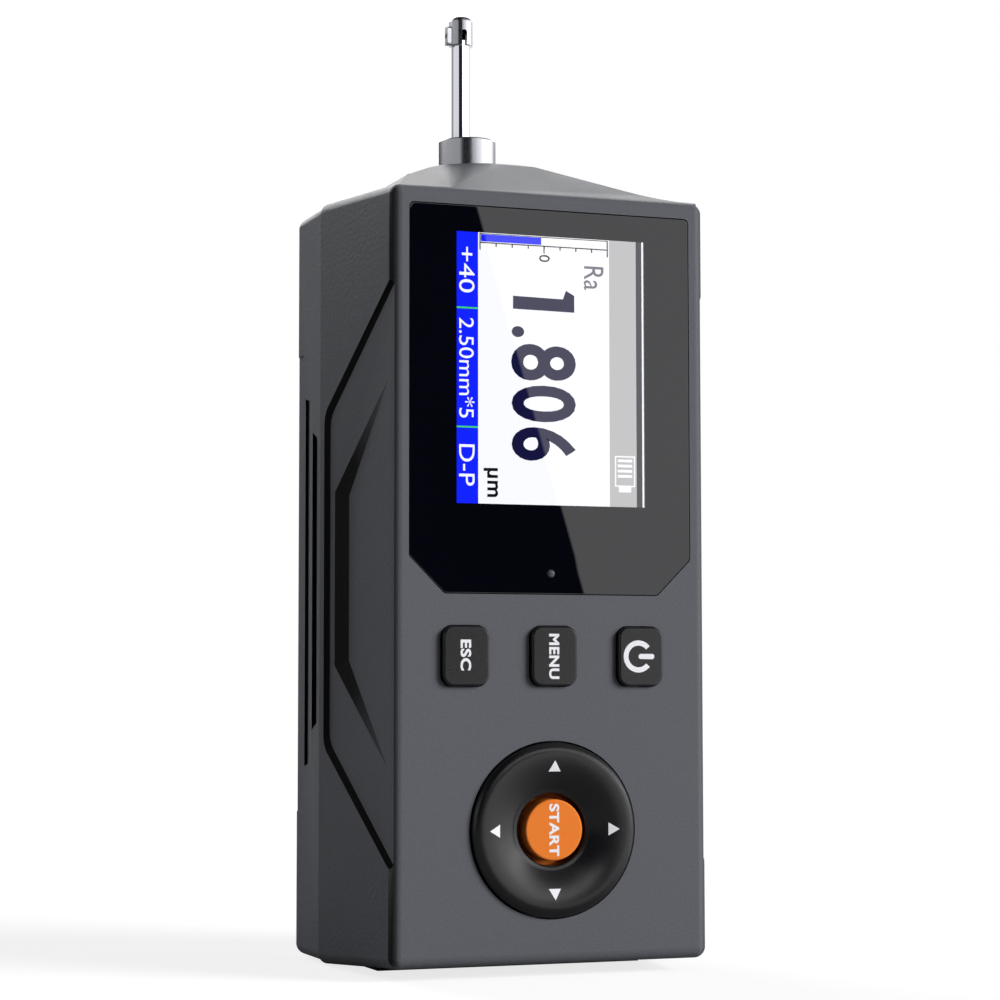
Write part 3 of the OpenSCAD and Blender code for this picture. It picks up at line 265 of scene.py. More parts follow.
def finish(name, colour, roughness, metallic=0.0, *, size, depth, tone, stretch=(1, 1, 1), **sockets):
    """A material with a pattern of that size and depth in mm, drawn out by stretch, that varies in tone."""
    made, tree, shader, place = new_material(name, colour, Roughness=roughness, Metallic=metallic, **sockets)
    drawn = add_node(tree, "ShaderNodeMapping", {"Vector": place, "Scale": [1 / s for s in stretch]})
    marks = add_node(tree, "ShaderNodeTexNoise", {"Vector": drawn.outputs["Vector"], "Scale": per_mm(size),
                                                  "Detail": 3.0})
    bump = add_node(tree, "ShaderNodeBump", {"Height": marks.outputs["Fac"], "Distance": depth * MM,
                                             "Strength": 0.6})
    tree.links.new(bump.outputs["Normal"], shader.inputs["Normal"])
    mixed = add_node(tree, "ShaderNodeMix", {"Factor": marks.outputs["Fac"], "A": toned(colour, 1 - tone),
                                             "B": toned(colour, 1 + tone)}, data_type="RGBA")
    tree.links.new(mixed.outputs["Result"], shader.inputs["Base Color"])
    return made


print("a grain of 0.5 mm has a scale of", round(per_mm(0.5)))

# %% [markdown]
# With that function, each finish is one entry: its slot in the record, the real material, its colour,
# roughness and metallic value, and the size and depth of its pattern in millimetres. The comment says what
# the eye gets from it. Marks that are too fine to show on a real piece are drawn as coarse as they need.

# %% Finishes
finishes = {
    # Keys are ABS from a polished mould with light grit: dark, slightly satin.
    "key_plastic": finish("satin_black_ABS_keys", "#121214", 0.23, size=0.35, depth=0.03, tone=0.2),
    # The start button is the same ABS with an orange pigment.
    "orange_plastic": finish("orange_ABS_button", "#e67d30", 0.45, size=0.35, depth=0.02, tone=0.06,
                             Specular_IOR_Level=0.25),
    # Chromium plate is a near-perfect mirror with a faint blue cast.
    "chrome": finish("chromium_plate", "#e6e7ec", 0.04, 1.0, size=0.6, depth=0.0002, tone=0.01),
    # The bush and the head are hard steel, turned and plated satin, so their mirror is darker and softer.
    "nose_steel": finish("satin_chromium_plate", "#aeafb4", 0.24, 1.0, size=0.25, depth=0.002,
                         stretch=(1, 1, 0.2), tone=0.03),
    # Ground steel has fine marks round it and a cool shine.
    "ground_steel": finish("ground_steel", "#c3c5ca", 0.2, 1.0, size=0.3, depth=0.002, stretch=(8, 8, 1),
                           tone=0.05),
    # Plain bright steel of screws and the motor can.
    "steel": finish("bright_steel", "#b5b7ba", 0.28, 1.0, size=0.5, depth=0.004, tone=0.08),
    # Black oxide on steel is matt, nearly black, and shows its metal a little.
    "black_steel": finish("black_oxide_steel", "#2b2b2d", 0.45, 0.8, size=0.4, depth=0.006, tone=0.15),
    # Turned brass is warm and bright with fine tool rings.
    "brass": finish("turned_brass", "#c9a55a", 0.25, 1.0, size=0.3, depth=0.003, stretch=(6, 6, 1),
                    tone=0.08),
    # Machined aluminium has long mill marks and a pale, soft shine.
    "aluminium": finish("milled_aluminium", "#c8cacc", 0.35, 1.0, size=0.5, depth=0.005, stretch=(1, 1, 12),
                        tone=0.06),
    # Tinplate is rolled and bright.
    "tinplate": finish("rolled_tinplate", "#cfcfcb", 0.25, 1.0, size=0.6, depth=0.003, stretch=(10, 1, 1),
                       tone=0.05),
    # Shrink wrap is thin, glossy PVC that ripples over the cell.
    "battery_wrap": finish("blue_PVC_shrink_wrap", "#2d5f9e", 0.3, size=6.0, depth=0.25, tone=0.1),
    # Chips and the buzzer are black moulded epoxy, matt and a little dusty.
    "chip_plastic": finish("moulded_epoxy", "#202022", 0.6, size=0.3, depth=0.01, tone=0.25),
    # The light pipe and the stylus' sapphire are clear and polished.
    "clear_plastic": finish("clear_polycarbonate", "#f2f4f6", 0.08, size=1.0, depth=0.001, tone=0.02,
                            Transmission_Weight=0.9, IOR=1.58),
    # Frames and trays inside are black glass-filled nylon with a fibrous grain.
    "inner_plastic": finish("glass_filled_nylon", "#2c2d30", 0.55, size=0.4, depth=0.02, stretch=(1, 1, 4),
                            tone=0.2),
    # Gimbal parts are grey acetal, smooth and waxy.
    "grey_plastic": finish("grey_acetal", "#85878b", 0.35, size=0.8, depth=0.008, tone=0.06),
    # Connector housings are ivory nylon, dull with a soft edge to their shine.
    "ivory_plastic": finish("ivory_nylon", "#e5dfcf", 0.45, size=0.6, depth=0.01, tone=0.05),
    # The display's own glass is dark, flat and polished, with a faint grain of pixels.
    "lcd": finish("display_glass", "#23262c", 0.12, size=0.2, depth=0.002, tone=0.15, IOR=1.52),
    # The shells' plastics, made above.
    "front_plastic": front_abs,
    "rear_plastic": rear_abs_with_painted_light,
}
print("finishes so far:", len(finishes))

# %% [markdown]
# Two inner finishes have regular patterns. A circuit board's green lacquer lies over copper tracks, and a
# coil is wound from enamelled wire in close turns. A noise can't draw either, so a brick pattern and a
# wave stand for them. Real wire is about 0.1 mm thick, and its turns are drawn wider here, so that they
# show.

# %% Board and coil finishes
# The brick pattern repeats over this width in mm: its bricks are half as long, its rows a quarter as high.
BOARD_PATTERN = 4.0
# A turn of the coil is this wide in mm.
COIL_TURN = 1.885
# A wave of scale 1 has this period.
WAVE_PERIOD = 2 * math.pi / 20


def circuit_board():
    """FR4 board: green solder mask, lighter over the copper tracks under it."""
    made, tree, shader, place = new_material("FR4_solder_mask", "#1c5a36", Roughness=0.35, Coat_Weight=0.3)
    tracks = add_node(tree, "ShaderNodeTexBrick", {"Vector": place, "Scale": per_mm(BOARD_PATTERN),
                                                   "Mortar Size": 0.06, "Color1": linear("#17502f"),
                                                   "Color2": linear("#1a5733"), "Mortar": linear("#3c8a55")})
    tree.links.new(tracks.outputs["Color"], shader.inputs["Base Color"])
    bump = add_node(tree, "ShaderNodeBump", {"Height": tracks.outputs["Fac"], "Distance": 0.03 * MM})
    tree.links.new(bump.outputs["Normal"], shader.inputs["Normal"])
    return made


def wound_copper():
    """Enamelled copper wire in close turns round an upright bobbin: bright bands and dark grooves, as
    painted highlight and shade.
    """
    made, tree, shader, place = new_material("enamelled_copper_wire_painted_sheen_and_shade", "#b8642f", Roughness=0.3, Metallic=1.0)
    turns = add_node(tree, "ShaderNodeTexWave", {"Vector": place, "Scale": per_mm(COIL_TURN) * WAVE_PERIOD},
                     bands_direction="Z")
    bump = add_node(tree, "ShaderNodeBump", {"Height": turns.outputs["Fac"], "Distance": 0.08 * MM})
    tree.links.new(bump.outputs["Normal"], shader.inputs["Normal"])
    # Painted highlight and shade: the tone follows the turns, light on their crowns and dark in the grooves.
    tone = add_node(tree, "ShaderNodeMix", {"Factor": turns.outputs["Fac"], "A": linear("#7c3d1a"),
                                            "B": linear("#c9743a")}, data_type="RGBA")
    tree.links.new(tone.outputs["Result"], shader.inputs["Base Color"])
    return made


finishes["circuit_board"] = circuit_board()
finishes["copper"] = wound_copper()
print("finishes:", len(finishes))

# %% [markdown]
# The window is a flat plate of acrylic, printed black from behind, so the eye meets a polished surface
# first and a deep black under it. Clear acrylic over a black sheet would look the same but needs many
# more light paths, so one dark, polished material stands for both. Its reflection is all that shows of
# its shape, and a breath of unevenness keeps the reflection's edge from looking drawn with a ruler.

# %% Window acrylic
# Width and depth of the unevenness in mm.
SWELL = 30.0
SWELL_DEPTH = 0.01
# The gloss and IOR of the window, which the picture under it shares.
POLISH = {"Roughness": 0.004, "IOR": 1.6}
window_acrylic, tree, shader, place = new_material("black_backed_acrylic", "#03040a", **POLISH)
swell = add_node(tree, "ShaderNodeTexNoise", {"Vector": place, "Scale": per_mm(SWELL), "Detail": 1.0})
flow = add_node(tree, "ShaderNodeBump", {"Height": swell.outputs["Fac"], "Distance": SWELL_DEPTH * MM,
                                         "Strength": 0.3})
tree.links.new(flow.outputs["Normal"], shader.inputs["Normal"])
depth_tone = add_node(tree, "ShaderNodeMix", {"Factor": swell.outputs["Fac"], "A": linear("#020308"),
                                              "B": linear("#05060e")}, data_type="RGBA")
tree.links.new(depth_tone.outputs["Result"], shader.inputs["Base Color"])
finishes["window_glass"] = window_acrylic
print("window:", window_acrylic.name)

# %% [markdown]
# The picture is light from the display, and the legends on the keys are ink from a pad. The eye sees flat
# colour in both, with a fine grid of dots in the picture and a slightly uneven tone in the ink. The
# picture lies under the window's gloss, so its colours are as polished as the window, and they glow a
# little in their own colour.

# %% Picture colours and inks
# A pixel's size in mm, and the tone of every second one.
PIXEL = 0.15
PIXEL_TONE = 0.94


def picture_colour(name, colour, glow=0.3):
    """A colour of the lit display: flat, with the pixels' grid as a slight change of tone, under gloss."""
    made, tree, shader, place = new_material(name, colour, Emission_Color=linear(colour),
                                             Emission_Strength=glow, **POLISH)
    pixels = add_node(tree, "ShaderNodeTexChecker", {"Vector": place, "Scale": per_mm(PIXEL),
                                                     "Color1": linear(colour),
                                                     "Color2": toned(colour, PIXEL_TONE)})
    tree.links.new(pixels.outputs["Color"], shader.inputs["Base Color"])
    return made


lit_white = picture_colour("display_white", "#f4f5f8", 0.16)
lit_blue = picture_colour("display_blue", "#1020f0")
lit_grey = picture_colour("display_grey", "#adadae")
lit_dark = picture_colour("display_dark_grey", "#3a3c42")
lit_green = picture_colour("display_green", "#3fc05a")
lit_navy = picture_colour("display_navy", "#121238")
lit_black = picture_colour("display_black", "#101014")
lit_ink_grey = picture_colour("display_ink_grey", "#6a6c74")
# Pad ink is a thin, dull white film.
pad_ink = finish("white_pad_printing_ink", "#ececf0", 0.5, size=0.3, depth=0.004, tone=0.05)
# Painted shadow: steps and grooves of the case catch no light, so their plastic is painted nearly black,
# with no sheen.
painted_shadow_abs = finish("deep_groove_painted_shadow_ABS", "#060607", 0.7, size=0.4, depth=0.03, tone=0.2,
                    Specular_IOR_Level=0.02)
print("picture colours and inks are ready")

# %% [markdown]
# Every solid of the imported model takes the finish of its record's slot. Those that a mould or a lathe
# rounds are replaced below by finer pieces; the rest stay as they are.

# %% Dress the solids
slots = {entry["node"]: entry["material_slot"] for entry in frame["record"]["subparts"]}
for name, solid in nodes.items():
    solid.data.materials.clear()
    solid.data.materials.append(finishes[slots[name]])
print("dressed", len(nodes), "solids in", len(set(slots.values())), "finishes")

# %% [markdown]
# A new piece starts as loose faces. Its doubles are merged, its normals turned outwards and its soft
# edges smoothed, and then it is named, dressed and made to ride on the body that carries it. Where
# modifiers or nodes shape a piece, their result is made a plain mesh first, because a finished piece
# keeps its place in its mesh.

# %% Finishing a piece
# Edges softer than this are smoothed, and points closer than this, in metres, are one.
SOFT_ANGLE = math.radians(32)
DOUBLES = 1e-7


def add_object(name, data):
    """A new object in the scene."""
    made = bpy.data.objects.new(name, data)
    scene.collection.objects.link(made)
    return made


def plain_mesh(holder):
    """What an object's modifiers or its type make of it, as a plain mesh; the object is removed."""
    done = bpy.data.meshes.new_from_object(holder.evaluated_get(bpy.context.evaluated_depsgraph_get()))
    bpy.data.objects.remove(holder)
    return done


def mesh_from(build):
    """A plain mesh from a build of loose faces, merged and with its faces turned outwards."""
    bmesh.ops.remove_doubles(build, verts=build.verts, dist=DOUBLES)
    bmesh.ops.recalc_face_normals(build, faces=build.faces)
    mesh = bpy.data.meshes.new("piece")
    build.to_mesh(mesh)
    build.free()
    return mesh


def keep_piece(name, mesh, body, materials, replaced=(), soft=SOFT_ANGLE):
    """Adds a finished mesh as a piece that rides on a body and may stand for some solids."""
    mesh.name = name
    for material in materials:
        mesh.materials.append(material)
    mesh.shade_smooth()
    mesh.set_sharp_from_angle(angle=soft)
    piece = add_object(name, mesh)
    if replaced:
        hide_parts(*replaced)
    even = piece.modifiers.new("even shading", "WEIGHTED_NORMAL")
    even.keep_sharp = True
    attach(piece, body)


print("edges softer than", round(math.degrees(SOFT_ANGLE)), "degrees are smoothed")

# %% [markdown]
# The two shells keep the shape of their solids. A mould can't make a knife edge, and the light that runs
# along a rounded edge is what makes plastic look moulded, so copies of the shells get a small bevel on
# their edges. A copy is merged first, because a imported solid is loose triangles, which a bevel can't
# follow.

# %% Shells with moulded edges
# The bevel's width in mm, how sharp an edge must be to get it, and how soft one must be to be smoothed.
EDGE = 0.25
EDGE_ANGLE = math.radians(30)
SHELL_SOFT_ANGLE = math.radians(20)
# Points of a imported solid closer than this, in metres, are one, and faces flatter than this are joined.
SOLID_DOUBLES = 2e-6
FLAT_ANGLE = math.radians(0.05)


def merged_copy(name):
    """A copy of a solid's mesh with its triangles joined to flat faces, as a new object."""
    build = bmesh.new()
    build.from_mesh(nodes[name].data)
    bmesh.ops.remove_doubles(build, verts=build.verts, dist=SOLID_DOUBLES)
    bmesh.ops.dissolve_limit(build, angle_limit=FLAT_ANGLE, verts=build.verts, edges=build.edges)
    mesh = bpy.data.meshes.new(name)
    build.to_mesh(mesh)
    build.free()
    return add_object(name + "_copy", mesh)


def rounded_shell(name):
    """A shell's mesh with its sharp edges rounded."""
    holder = merged_copy(name)
    bevel = holder.modifiers.new("moulded edge", "BEVEL")
    bevel.width = EDGE * MM
    bevel.segments = 3
    bevel.limit_method = "ANGLE"
    bevel.angle_limit = EDGE_ANGLE
    bevel.use_clamp_overlap = True
    return plain_mesh(holder)


shells = {name: rounded_shell(name) for name in ("front_shell", "rear_shell")}
print("faces of the shells:", {name: len(mesh.polygons) for name, mesh in shells.items()})

# %% [markdown]
# The deep steps of the side grips and the scoop behind the display catch no light, and the rounding from
# the front to the sides lies in shade as well, so their faces get plastics with painted shade. Their faces
# could be picked by hand, but a rule on where a face lies and where it looks picks them again after each
# change of the model.

# %% Painted shade on the shells
# The height of the front face's middle.
MIDDLE_H = 70
# A face is on a side past this x, and in a step or the scoop past this depth and this near the middle.
SIDE_X = 20
STEP_D = 4
STEP_REACH = 60
# Past this depth a step is the rear grip's. The scoop narrows with depth, from half its height at the front.
GRIP_D = 32
SCOOP_HALF = 44
SCOOP_TAPER = 0.66
# The rounding ends at this depth.
ROUNDING_D = 3.2
# A face looks forward enough where the y part of its normal is below this.
STEP_FACING = -0.25
ROUNDING_FACING = -0.1
# The steps, the scoop and the rounding get plastics with painted shade; the rest keeps the case plastic.
CASE, STEP, SCOOP, ROUNDING = range(4)


def shade_of(face):
    """Which of the four plastics a face of a shell has, by its place and the way it looks."""
    depth = face.center.y / MM - FRONT_Y
    from_middle = abs(face.center.z / MM - FOOT_Z - MIDDLE_H)
    if abs(face.center.x) / MM <= SIDE_X:
        return CASE
    if depth > STEP_D and from_middle < STEP_REACH and face.normal.y < STEP_FACING:
        in_scoop = depth <= GRIP_D and from_middle <= SCOOP_HALF - SCOOP_TAPER * depth
        return SCOOP if in_scoop else STEP
    turned_aside = abs(face.normal.x) > ROUNDING_TURN[0]
    if depth < ROUNDING_D and turned_aside and face.normal.y < ROUNDING_FACING:
        return ROUNDING
    return CASE


for name, mesh in shells.items():
    for face in mesh.polygons:
        face.material_index = shade_of(face)
    plastics = [finishes[slots[name]], painted_shadow_abs, scoop_painted_shade_abs, rounding_painted_shade_abs]
    counts = [sum(face.material_index == i for face in mesh.polygons) for i in range(len(plastics))]
    keep_piece(name + "_moulded", mesh, "root", plastics, [name], SHELL_SOFT_ANGLE)
    print(name, "has", counts, "faces in the four plastics")

# %% [markdown]
# The window fills its opening in the front shell. It is cut from sheet, so it is a flat plate with a fine
# chamfer round its face and its two lower corners cut off. A bevelled box can't have those corners, so a
# closed skin is drawn over four outlines, one behind the other. The same skin makes most of the pieces
# below.

# %% Display window
WINDOW_X, WINDOW_H, WINDOW_D = span("display_window")
# The cut of the lower corners, and the round of all corners.
WINDOW_CUT = 6.6
WINDOW_CORNER = 1.0
CORNER_STEPS = 6
# Play round the plate, and the chamfer as rows of inset and depth.
FIT = 0.03
CHAMFER = ((0.0, 0.12), (0.04, 0.04), (0.16, 0.0))


def loft(build, rings, material=0):
    """A closed skin over rings of equally many points."""
    loops = [[build.verts.new(point) for point in ring] for ring in rings]
    count = len(loops[0])
    faces = [build.faces.new(loops[0][::-1]), build.faces.new(loops[-1])]
    for low, high in zip(loops, loops[1:]):
        for i in range(count):
            j = (i + 1) % count
            faces.append(build.faces.new((low[i], low[j], high[j], high[i])))
    for face in faces:
        face.material_index = material


def lofted(rings):
    """A plain mesh of one closed skin."""
    build = bmesh.new()
    loft(build, rings)
    return mesh_from(build)


def filleted(corners, radius, d):
    """Points round a polygon of x and h whose corners are rounded by radius, at depth d."""
    points = []
    for before, corner, after in zip(corners[-1:] + corners[:-1], corners, corners[1:] + corners[:1]):
        corner = Vector(corner)
        back = (Vector(before) - corner).normalized()
        on = (Vector(after) - corner).normalized()
        half = back.angle(on) / 2
        centre = corner + (back + on).normalized() * radius / math.sin(half)
        first = corner + back * radius / math.tan(half) - centre
        last = corner + on * radius / math.tan(half) - centre
        for step in range(CORNER_STEPS + 1):
            spoke = first.lerp(last, step / CORNER_STEPS).normalized() * radius + centre
            points.append(at(spoke.x, spoke.y, d))
    return points


def window_outline(inset, d):
    """The window's outline at depth d, drawn in by inset, which shortens the cuts at 45 degrees."""
    left, right = WINDOW_X[0] + inset, WINDOW_X[1] - inset
    low, high = WINDOW_H[0] + inset, WINDOW_H[1] - inset
    cut = WINDOW_CUT - (2 - math.sqrt(2)) * inset
    corners = [(left + cut, low), (right - cut, low), (right, low + cut), (right, high), (left, high),
               (left, low + cut)]
    return filleted(corners, WINDOW_CORNER, d)


outlines = [window_outline(FIT, WINDOW_D[1])] + [window_outline(FIT + inset, d) for inset, d in CHAMFER]
keep_piece("window_plate", lofted(outlines), "root", [window_acrylic], ["display_window"])
print("window", [round(ends[1] - ends[0], 2) for ends in (WINDOW_X, WINDOW_H)], "mm")

# %% [markdown]
# A small smoked lens under the picture passes the status light through the window. It is a low dome: a
# squashed sphere would do, but circles that shrink along a quarter round give it a flat foot, sunk a
# little into the window so that no gap shows.

# %% Status lens
# The lens: its middle, its radius, how far it rises, and the degrees that its dome turns.
LENS_X = -0.3
LENS_H = 70.1
LENS_R = 0.75
LENS_RISE = 0.22
LENS_TURN = 80
LENS_STEPS = 5
LENS_SIDES = 32
# How far a thin piece is sunk into its surface.
SUNK = 0.02


def circle(x, h, radius, d, steps):
    """Points round a circle at depth d."""
    turns = [2 * math.pi * step / steps for step in range(steps)]
    return [at(x + radius * math.cos(t), h + radius * math.sin(t), d) for t in turns]


rings = [circle(LENS_X, LENS_H, LENS_R, SUNK, LENS_SIDES)]
for step in range(LENS_STEPS + 1):
    rise = math.radians(LENS_TURN * step / LENS_STEPS)
    rings.append(circle(LENS_X, LENS_H, LENS_R * math.cos(rise), -LENS_RISE * math.sin(rise), LENS_SIDES))
# Smoked polycarbonate is dark while its light is off, and as polished as its mould.
smoked = finish("smoked_polycarbonate", "#2c2e33", 0.12, size=1.0, depth=0.001, tone=0.05, IOR=1.58)
keep_piece("status_lens", lofted(rings), "root", [smoked])
print("status lens", 2 * LENS_R, "mm across")

# %% [markdown]
# The picture fills the middle of the window: a blue strip at the left for the settings, a white field for
# the reading and a grey strip for its name and the battery. An image texture would be the usual way, but
# the picture is plain boxes, and boxes stay sharp at any distance. They are thin layers, a few hundredths
# of a millimetre over the plate and closed at their edges, so that they stay on the window from every
# side.

# %% Display picture
# The picture's lower and upper end, and the thickness of a layer.
PICTURE_H = (82.5, 131.7)
LAYER = 0.02
WHITE, BLUE, GREY, DARK, GREEN, BLACK = range(6)
# Columns from left to right: their edges in x, and their colours.
COLUMN_EDGES = (-18.4, -14.3, 11.34, 16.7, 17.85, 18.2, 18.4)
# The first dark column, right of the grey strip, is a painted shadow strip.
COLUMN_COLOURS = (BLUE, WHITE, GREY, DARK, WHITE, DARK)
# The scale over the reading: its ends in x, the foot of its end marks, and the width of its lines.
SCALE = (-13.92, 11.02)
SCALE_FOOT = 128.54
LINE = 0.2
# The lines between the settings: their middles, and half their width.
DIVIDERS_H = (117.84, 96.27)
DIVIDER_HALF = 0.15


def layer(build, box, lift, material):
    """A thin closed layer over the window: box is left, right, low and high, lift the layers under it."""
    left, right, low, high = box
    rings = []
    for d in (0.0, -LAYER * (lift + 1)):
        rings.append([at(left, low, d), at(right, low, d), at(right, high, d), at(left, high, d)])
    loft(build, rings, material)


# What lies over the columns: a colour, and a box of left, right, low and high.
MARKS = [(GREEN, (*COLUMN_EDGES[:2], h - DIVIDER_HALF, h + DIVIDER_HALF)) for h in DIVIDERS_H]
MARKS += [(BLACK, (*SCALE, 129.78, 129.98)), (BLACK, (*SCALE, 131.44, 131.58))]
MARKS += [(BLACK, (end - LINE / 2, end + LINE / 2, SCALE_FOOT, 131.6)) for end in SCALE]
MARKS += [(BLUE, (-13.73, -2.04, 130.1, 131.4)), (BLACK, (-1.6, -1.4, SCALE_FOOT, 129.9))]
# The battery's sign: two sides, top, foot and terminal.
MARKS += [(WHITE, box) for box in ((12.33, 12.6, 86.2, 91.88), (16.12, 16.39, 86.2, 91.88),
                                   (12.6, 16.12, 91.62, 91.88), (12.6, 16.12, 86.2, 86.46),
                                   (13.13, 15.59, 85.19, 86.2))]
build = bmesh.new()
for left, right, colour in zip(COLUMN_EDGES, COLUMN_EDGES[1:], COLUMN_COLOURS):
    layer(build, (left, right, *PICTURE_H), 0, colour)
for colour, box in MARKS:
    layer(build, box, 1, colour)
keep_piece("display_picture", mesh_from(build), "root",
           [lit_white, lit_blue, lit_grey, lit_dark, lit_green, lit_black])
print("picture", COLUMN_EDGES[-1] - COLUMN_EDGES[0], "by", round(PICTURE_H[1] - PICTURE_H[0], 2), "mm")

# %% [markdown]
# Geometry Nodes make what repeats on this object: a tree sets one small shape on each of some points. Every
# such tree begins with named inputs for its sizes and ends the same way, with its instances made real and
# dressed, so two functions open and close a tree. A third sets the inputs and turns the result into a plain
# mesh.

# %% Trees of nodes


def open_tree(name, **inputs):
    """A new Geometry Nodes tree with inputs of the names and kinds given; returns it and its inputs."""
    tree = bpy.data.node_groups.new(name, "GeometryNodeTree")
    tree.interface.new_socket("Geometry", in_out="OUTPUT", socket_type="NodeSocketGeometry")
    for label, kind in inputs.items():
        tree.interface.new_socket(label, in_out="INPUT", socket_type="NodeSocket" + kind)
    return tree, add_node(tree, "NodeGroupInput").outputs


def close_tree(tree, given, laid):
    """Ends a tree: makes the instances that a node has laid real, and dresses them in the finish given."""
    real = add_node(tree, "GeometryNodeRealizeInstances", {"Geometry": laid.outputs["Instances"]})
    dressed = add_node(tree, "GeometryNodeSetMaterial", {"Geometry": real.outputs["Geometry"],
                                                         "Material": given["Finish"]})
    add_node(tree, "NodeGroupOutput", {"Geometry": dressed.outputs["Geometry"]})
    return tree


def mesh_from_tree(tree, **values):
    """Runs a Geometry Nodes tree with its named inputs set, and returns its result as a plain mesh."""
    holder = add_object("nodes_holder", bpy.data.meshes.new("nodes_holder"))
    grown = holder.modifiers.new("nodes", "NODES")
    grown.node_group = tree
    for item in tree.interface.items_tree:
        if item.in_out == "INPUT":
            grown[item.identifier] = values[item.name]
    return plain_mesh(holder)


print("trees end in Realize Instances and Set Material")

# %% [markdown]
# The scale's ticks and the battery's bars repeat at even steps: a line of points, one small bar on each. The
# tree has inputs for the count, the first place, the step and the bar's size, so one tree serves both rows.

# %% Rows of bars
# The ticks: how many, the step between them, the height of their middles, and how long they are.
TICKS = 7
TICK_STEP = (SCALE[1] - SCALE[0]) / (TICKS + 1)
TICK_H = 129.58
TICK_LONG = 0.7
# The battery's bars: how many, the middle of the first, the step between them, and their width and height.
CHARGE = 4
CHARGE_X = 14.36
CHARGE_H = 91.0
CHARGE_STEP = 0.95
CHARGE_BAR = (2.9, 0.5)


def row_tree():
    """A tree that lays equal bars along a line."""
    tree, given = open_tree("row_of_bars", Count="Int", First="Vector", Step="Vector", Bar="Vector",
                            Finish="Material")
    line = add_node(tree, "GeometryNodeMeshLine", {"Count": given["Count"], "Start Location": given["First"],
                                                   "Offset": given["Step"]})
    bar = add_node(tree, "GeometryNodeMeshCube", {"Size": given["Bar"]})
    laid = add_node(tree, "GeometryNodeInstanceOnPoints", {"Points": line.outputs["Mesh"],
                                                           "Instance": bar.outputs["Mesh"]})
    return close_tree(tree, given, laid)


bars = row_tree()
ticks = mesh_from_tree(bars, Count=TICKS, First=at(SCALE[0] + TICK_STEP, TICK_H, -LAYER),
                       Step=Vector((TICK_STEP, 0, 0)) * MM, Bar=Vector((LINE, 4 * LAYER, TICK_LONG)) * MM,
                       Finish=lit_black)
keep_piece("display_ticks", ticks, "root", [])
charge = mesh_from_tree(bars, Count=CHARGE, First=at(CHARGE_X, CHARGE_H, -LAYER),
                        Step=Vector((0, 0, -CHARGE_STEP)) * MM,
                        Bar=Vector((CHARGE_BAR[0], 2 * LAYER, CHARGE_BAR[1])) * MM, Finish=lit_white)
keep_piece("display_charge", charge, "root", [])
print("ticks", len(ticks.polygons) // 6, "and charge bars", len(charge.polygons) // 6)

# %% [markdown]
# Figures and words on the display and the keys read downwards, as the tester lies on its side in use.
# Each is set in type, made a mesh, and then fitted to the box that it fills on its surface, a few
# hundredths of a millimetre proud. Fitting to a box, rather than choosing a type size, puts every word
# where it belongs at once.

# %% Lettering
# How far ink stands proud of its surface, in mm.
INK = 0.03


def in_box(box, along, up, d):
    """A point of words that read downwards in a box, by its shares along the line and up the letters."""
    left, right, low, high = box
    return at(left + up * (right - left), high - along * (high - low), d)


def lettering(name, words, box, face, body, ink, bold=0.0):
    """Words that read downwards in a box of left, right, low and high, on a surface at depth face, in mm."""
    type_set = bpy.data.curves.new(name, "FONT")
    type_set.body = words
    type_set.bevel_depth = bold
    type_set.bevel_resolution = 0
    type_set.space_character = 1.0 + 2 * bold
    type_set.extrude = 0.01
    type_set.resolution_u = 5
    mesh = plain_mesh(add_object(name, type_set))
    xs = [v.co.x for v in mesh.vertices]
    ys = [v.co.y for v in mesh.vertices]
    for v in mesh.vertices:
        along = (v.co.x - min(xs)) / (max(xs) - min(xs))
        up = (v.co.y - min(ys)) / (max(ys) - min(ys))
        v.co = in_box(box, along, up, face - INK if v.co.z > 0 else face + SUNK)
    keep_piece(name, mesh, body, [ink])


print("letters stand", INK, "mm proud")

# %% [markdown]
# The reading is the largest thing on the display, in heavy navy figures. The type's own figure 1 has a
# foot that the display's lacks, so that one is drawn from its six corners. The small words are the
# settings, the name and the unit of the reading, which every such tester shows.

# %% Reading and words
FIGURE_BOLD = 0.022
FIGURES = ((".", (-7.82, -5.4, 112.94, 114.95)), ("8", (-7.93, 4.69, 105.13, 111.8)),
           ("0", (-7.85, 4.66, 97.6, 104.27)), ("6", (-7.85, 4.63, 90.5, 96.63)))
for number, (figure, box) in enumerate(FIGURES, 1):
    lettering(f"reading_{number}", figure, box, -LAYER, "root", lit_navy, FIGURE_BOLD)
# The figure 1: the box it fills, and its corners as shares up the figure and along the line.
ONE = (-7.55, 4.42, 117.94, 121.9)
ONE_CORNERS = ((0.0, 0.36), (0.815, 0.41), (0.864, 0.0), (1.0, 0.22), (1.0, 1.0), (0.0, 0.96))
one = lofted([[in_box(ONE, along, up, d) for up, along in ONE_CORNERS] for d in (0.0, -LAYER - INK)])
keep_piece("reading_0", one, "root", [lit_navy])
# The settings share the blue strip's width.
STRIP = (-17.95, -15.0)
WORDS = (("parameter", "Ra", (6.35, 10.23, 122.28, 126.66), lit_ink_grey, 0.0),
         ("scale_zero", "0", (-2.44, -0.38, 126.99, 128.28), lit_black, 0.0),
         ("unit", "µm", (-13.25, -10.5, 83.72, 88.96), lit_black, 0.02),
         ("range", "+40", (*STRIP, 120.6, 128.9), lit_white, 0.0),
         ("cutoff", "2.50mm*5", (*STRIP, 97.9, 116.0), lit_white, 0.0),
         ("profile", "D-P", (*STRIP, 85.65, 93.1), lit_white, 0.0))
for name, words, box, ink, bold in WORDS:
    lettering("display_" + name, words, box, -LAYER, "root", ink, bold)
print("reading 1" + "".join(figure for figure, box in FIGURES), "and", len(WORDS), "words")

# %% [markdown]
# Moulded pieces have two rounded shapes: a rectangle with rounded corners, which is an outline for a skin,
# and a quarter round, which is the edge of a section. Both are worked out from angles, so that their number
# of steps can change while their size stays.

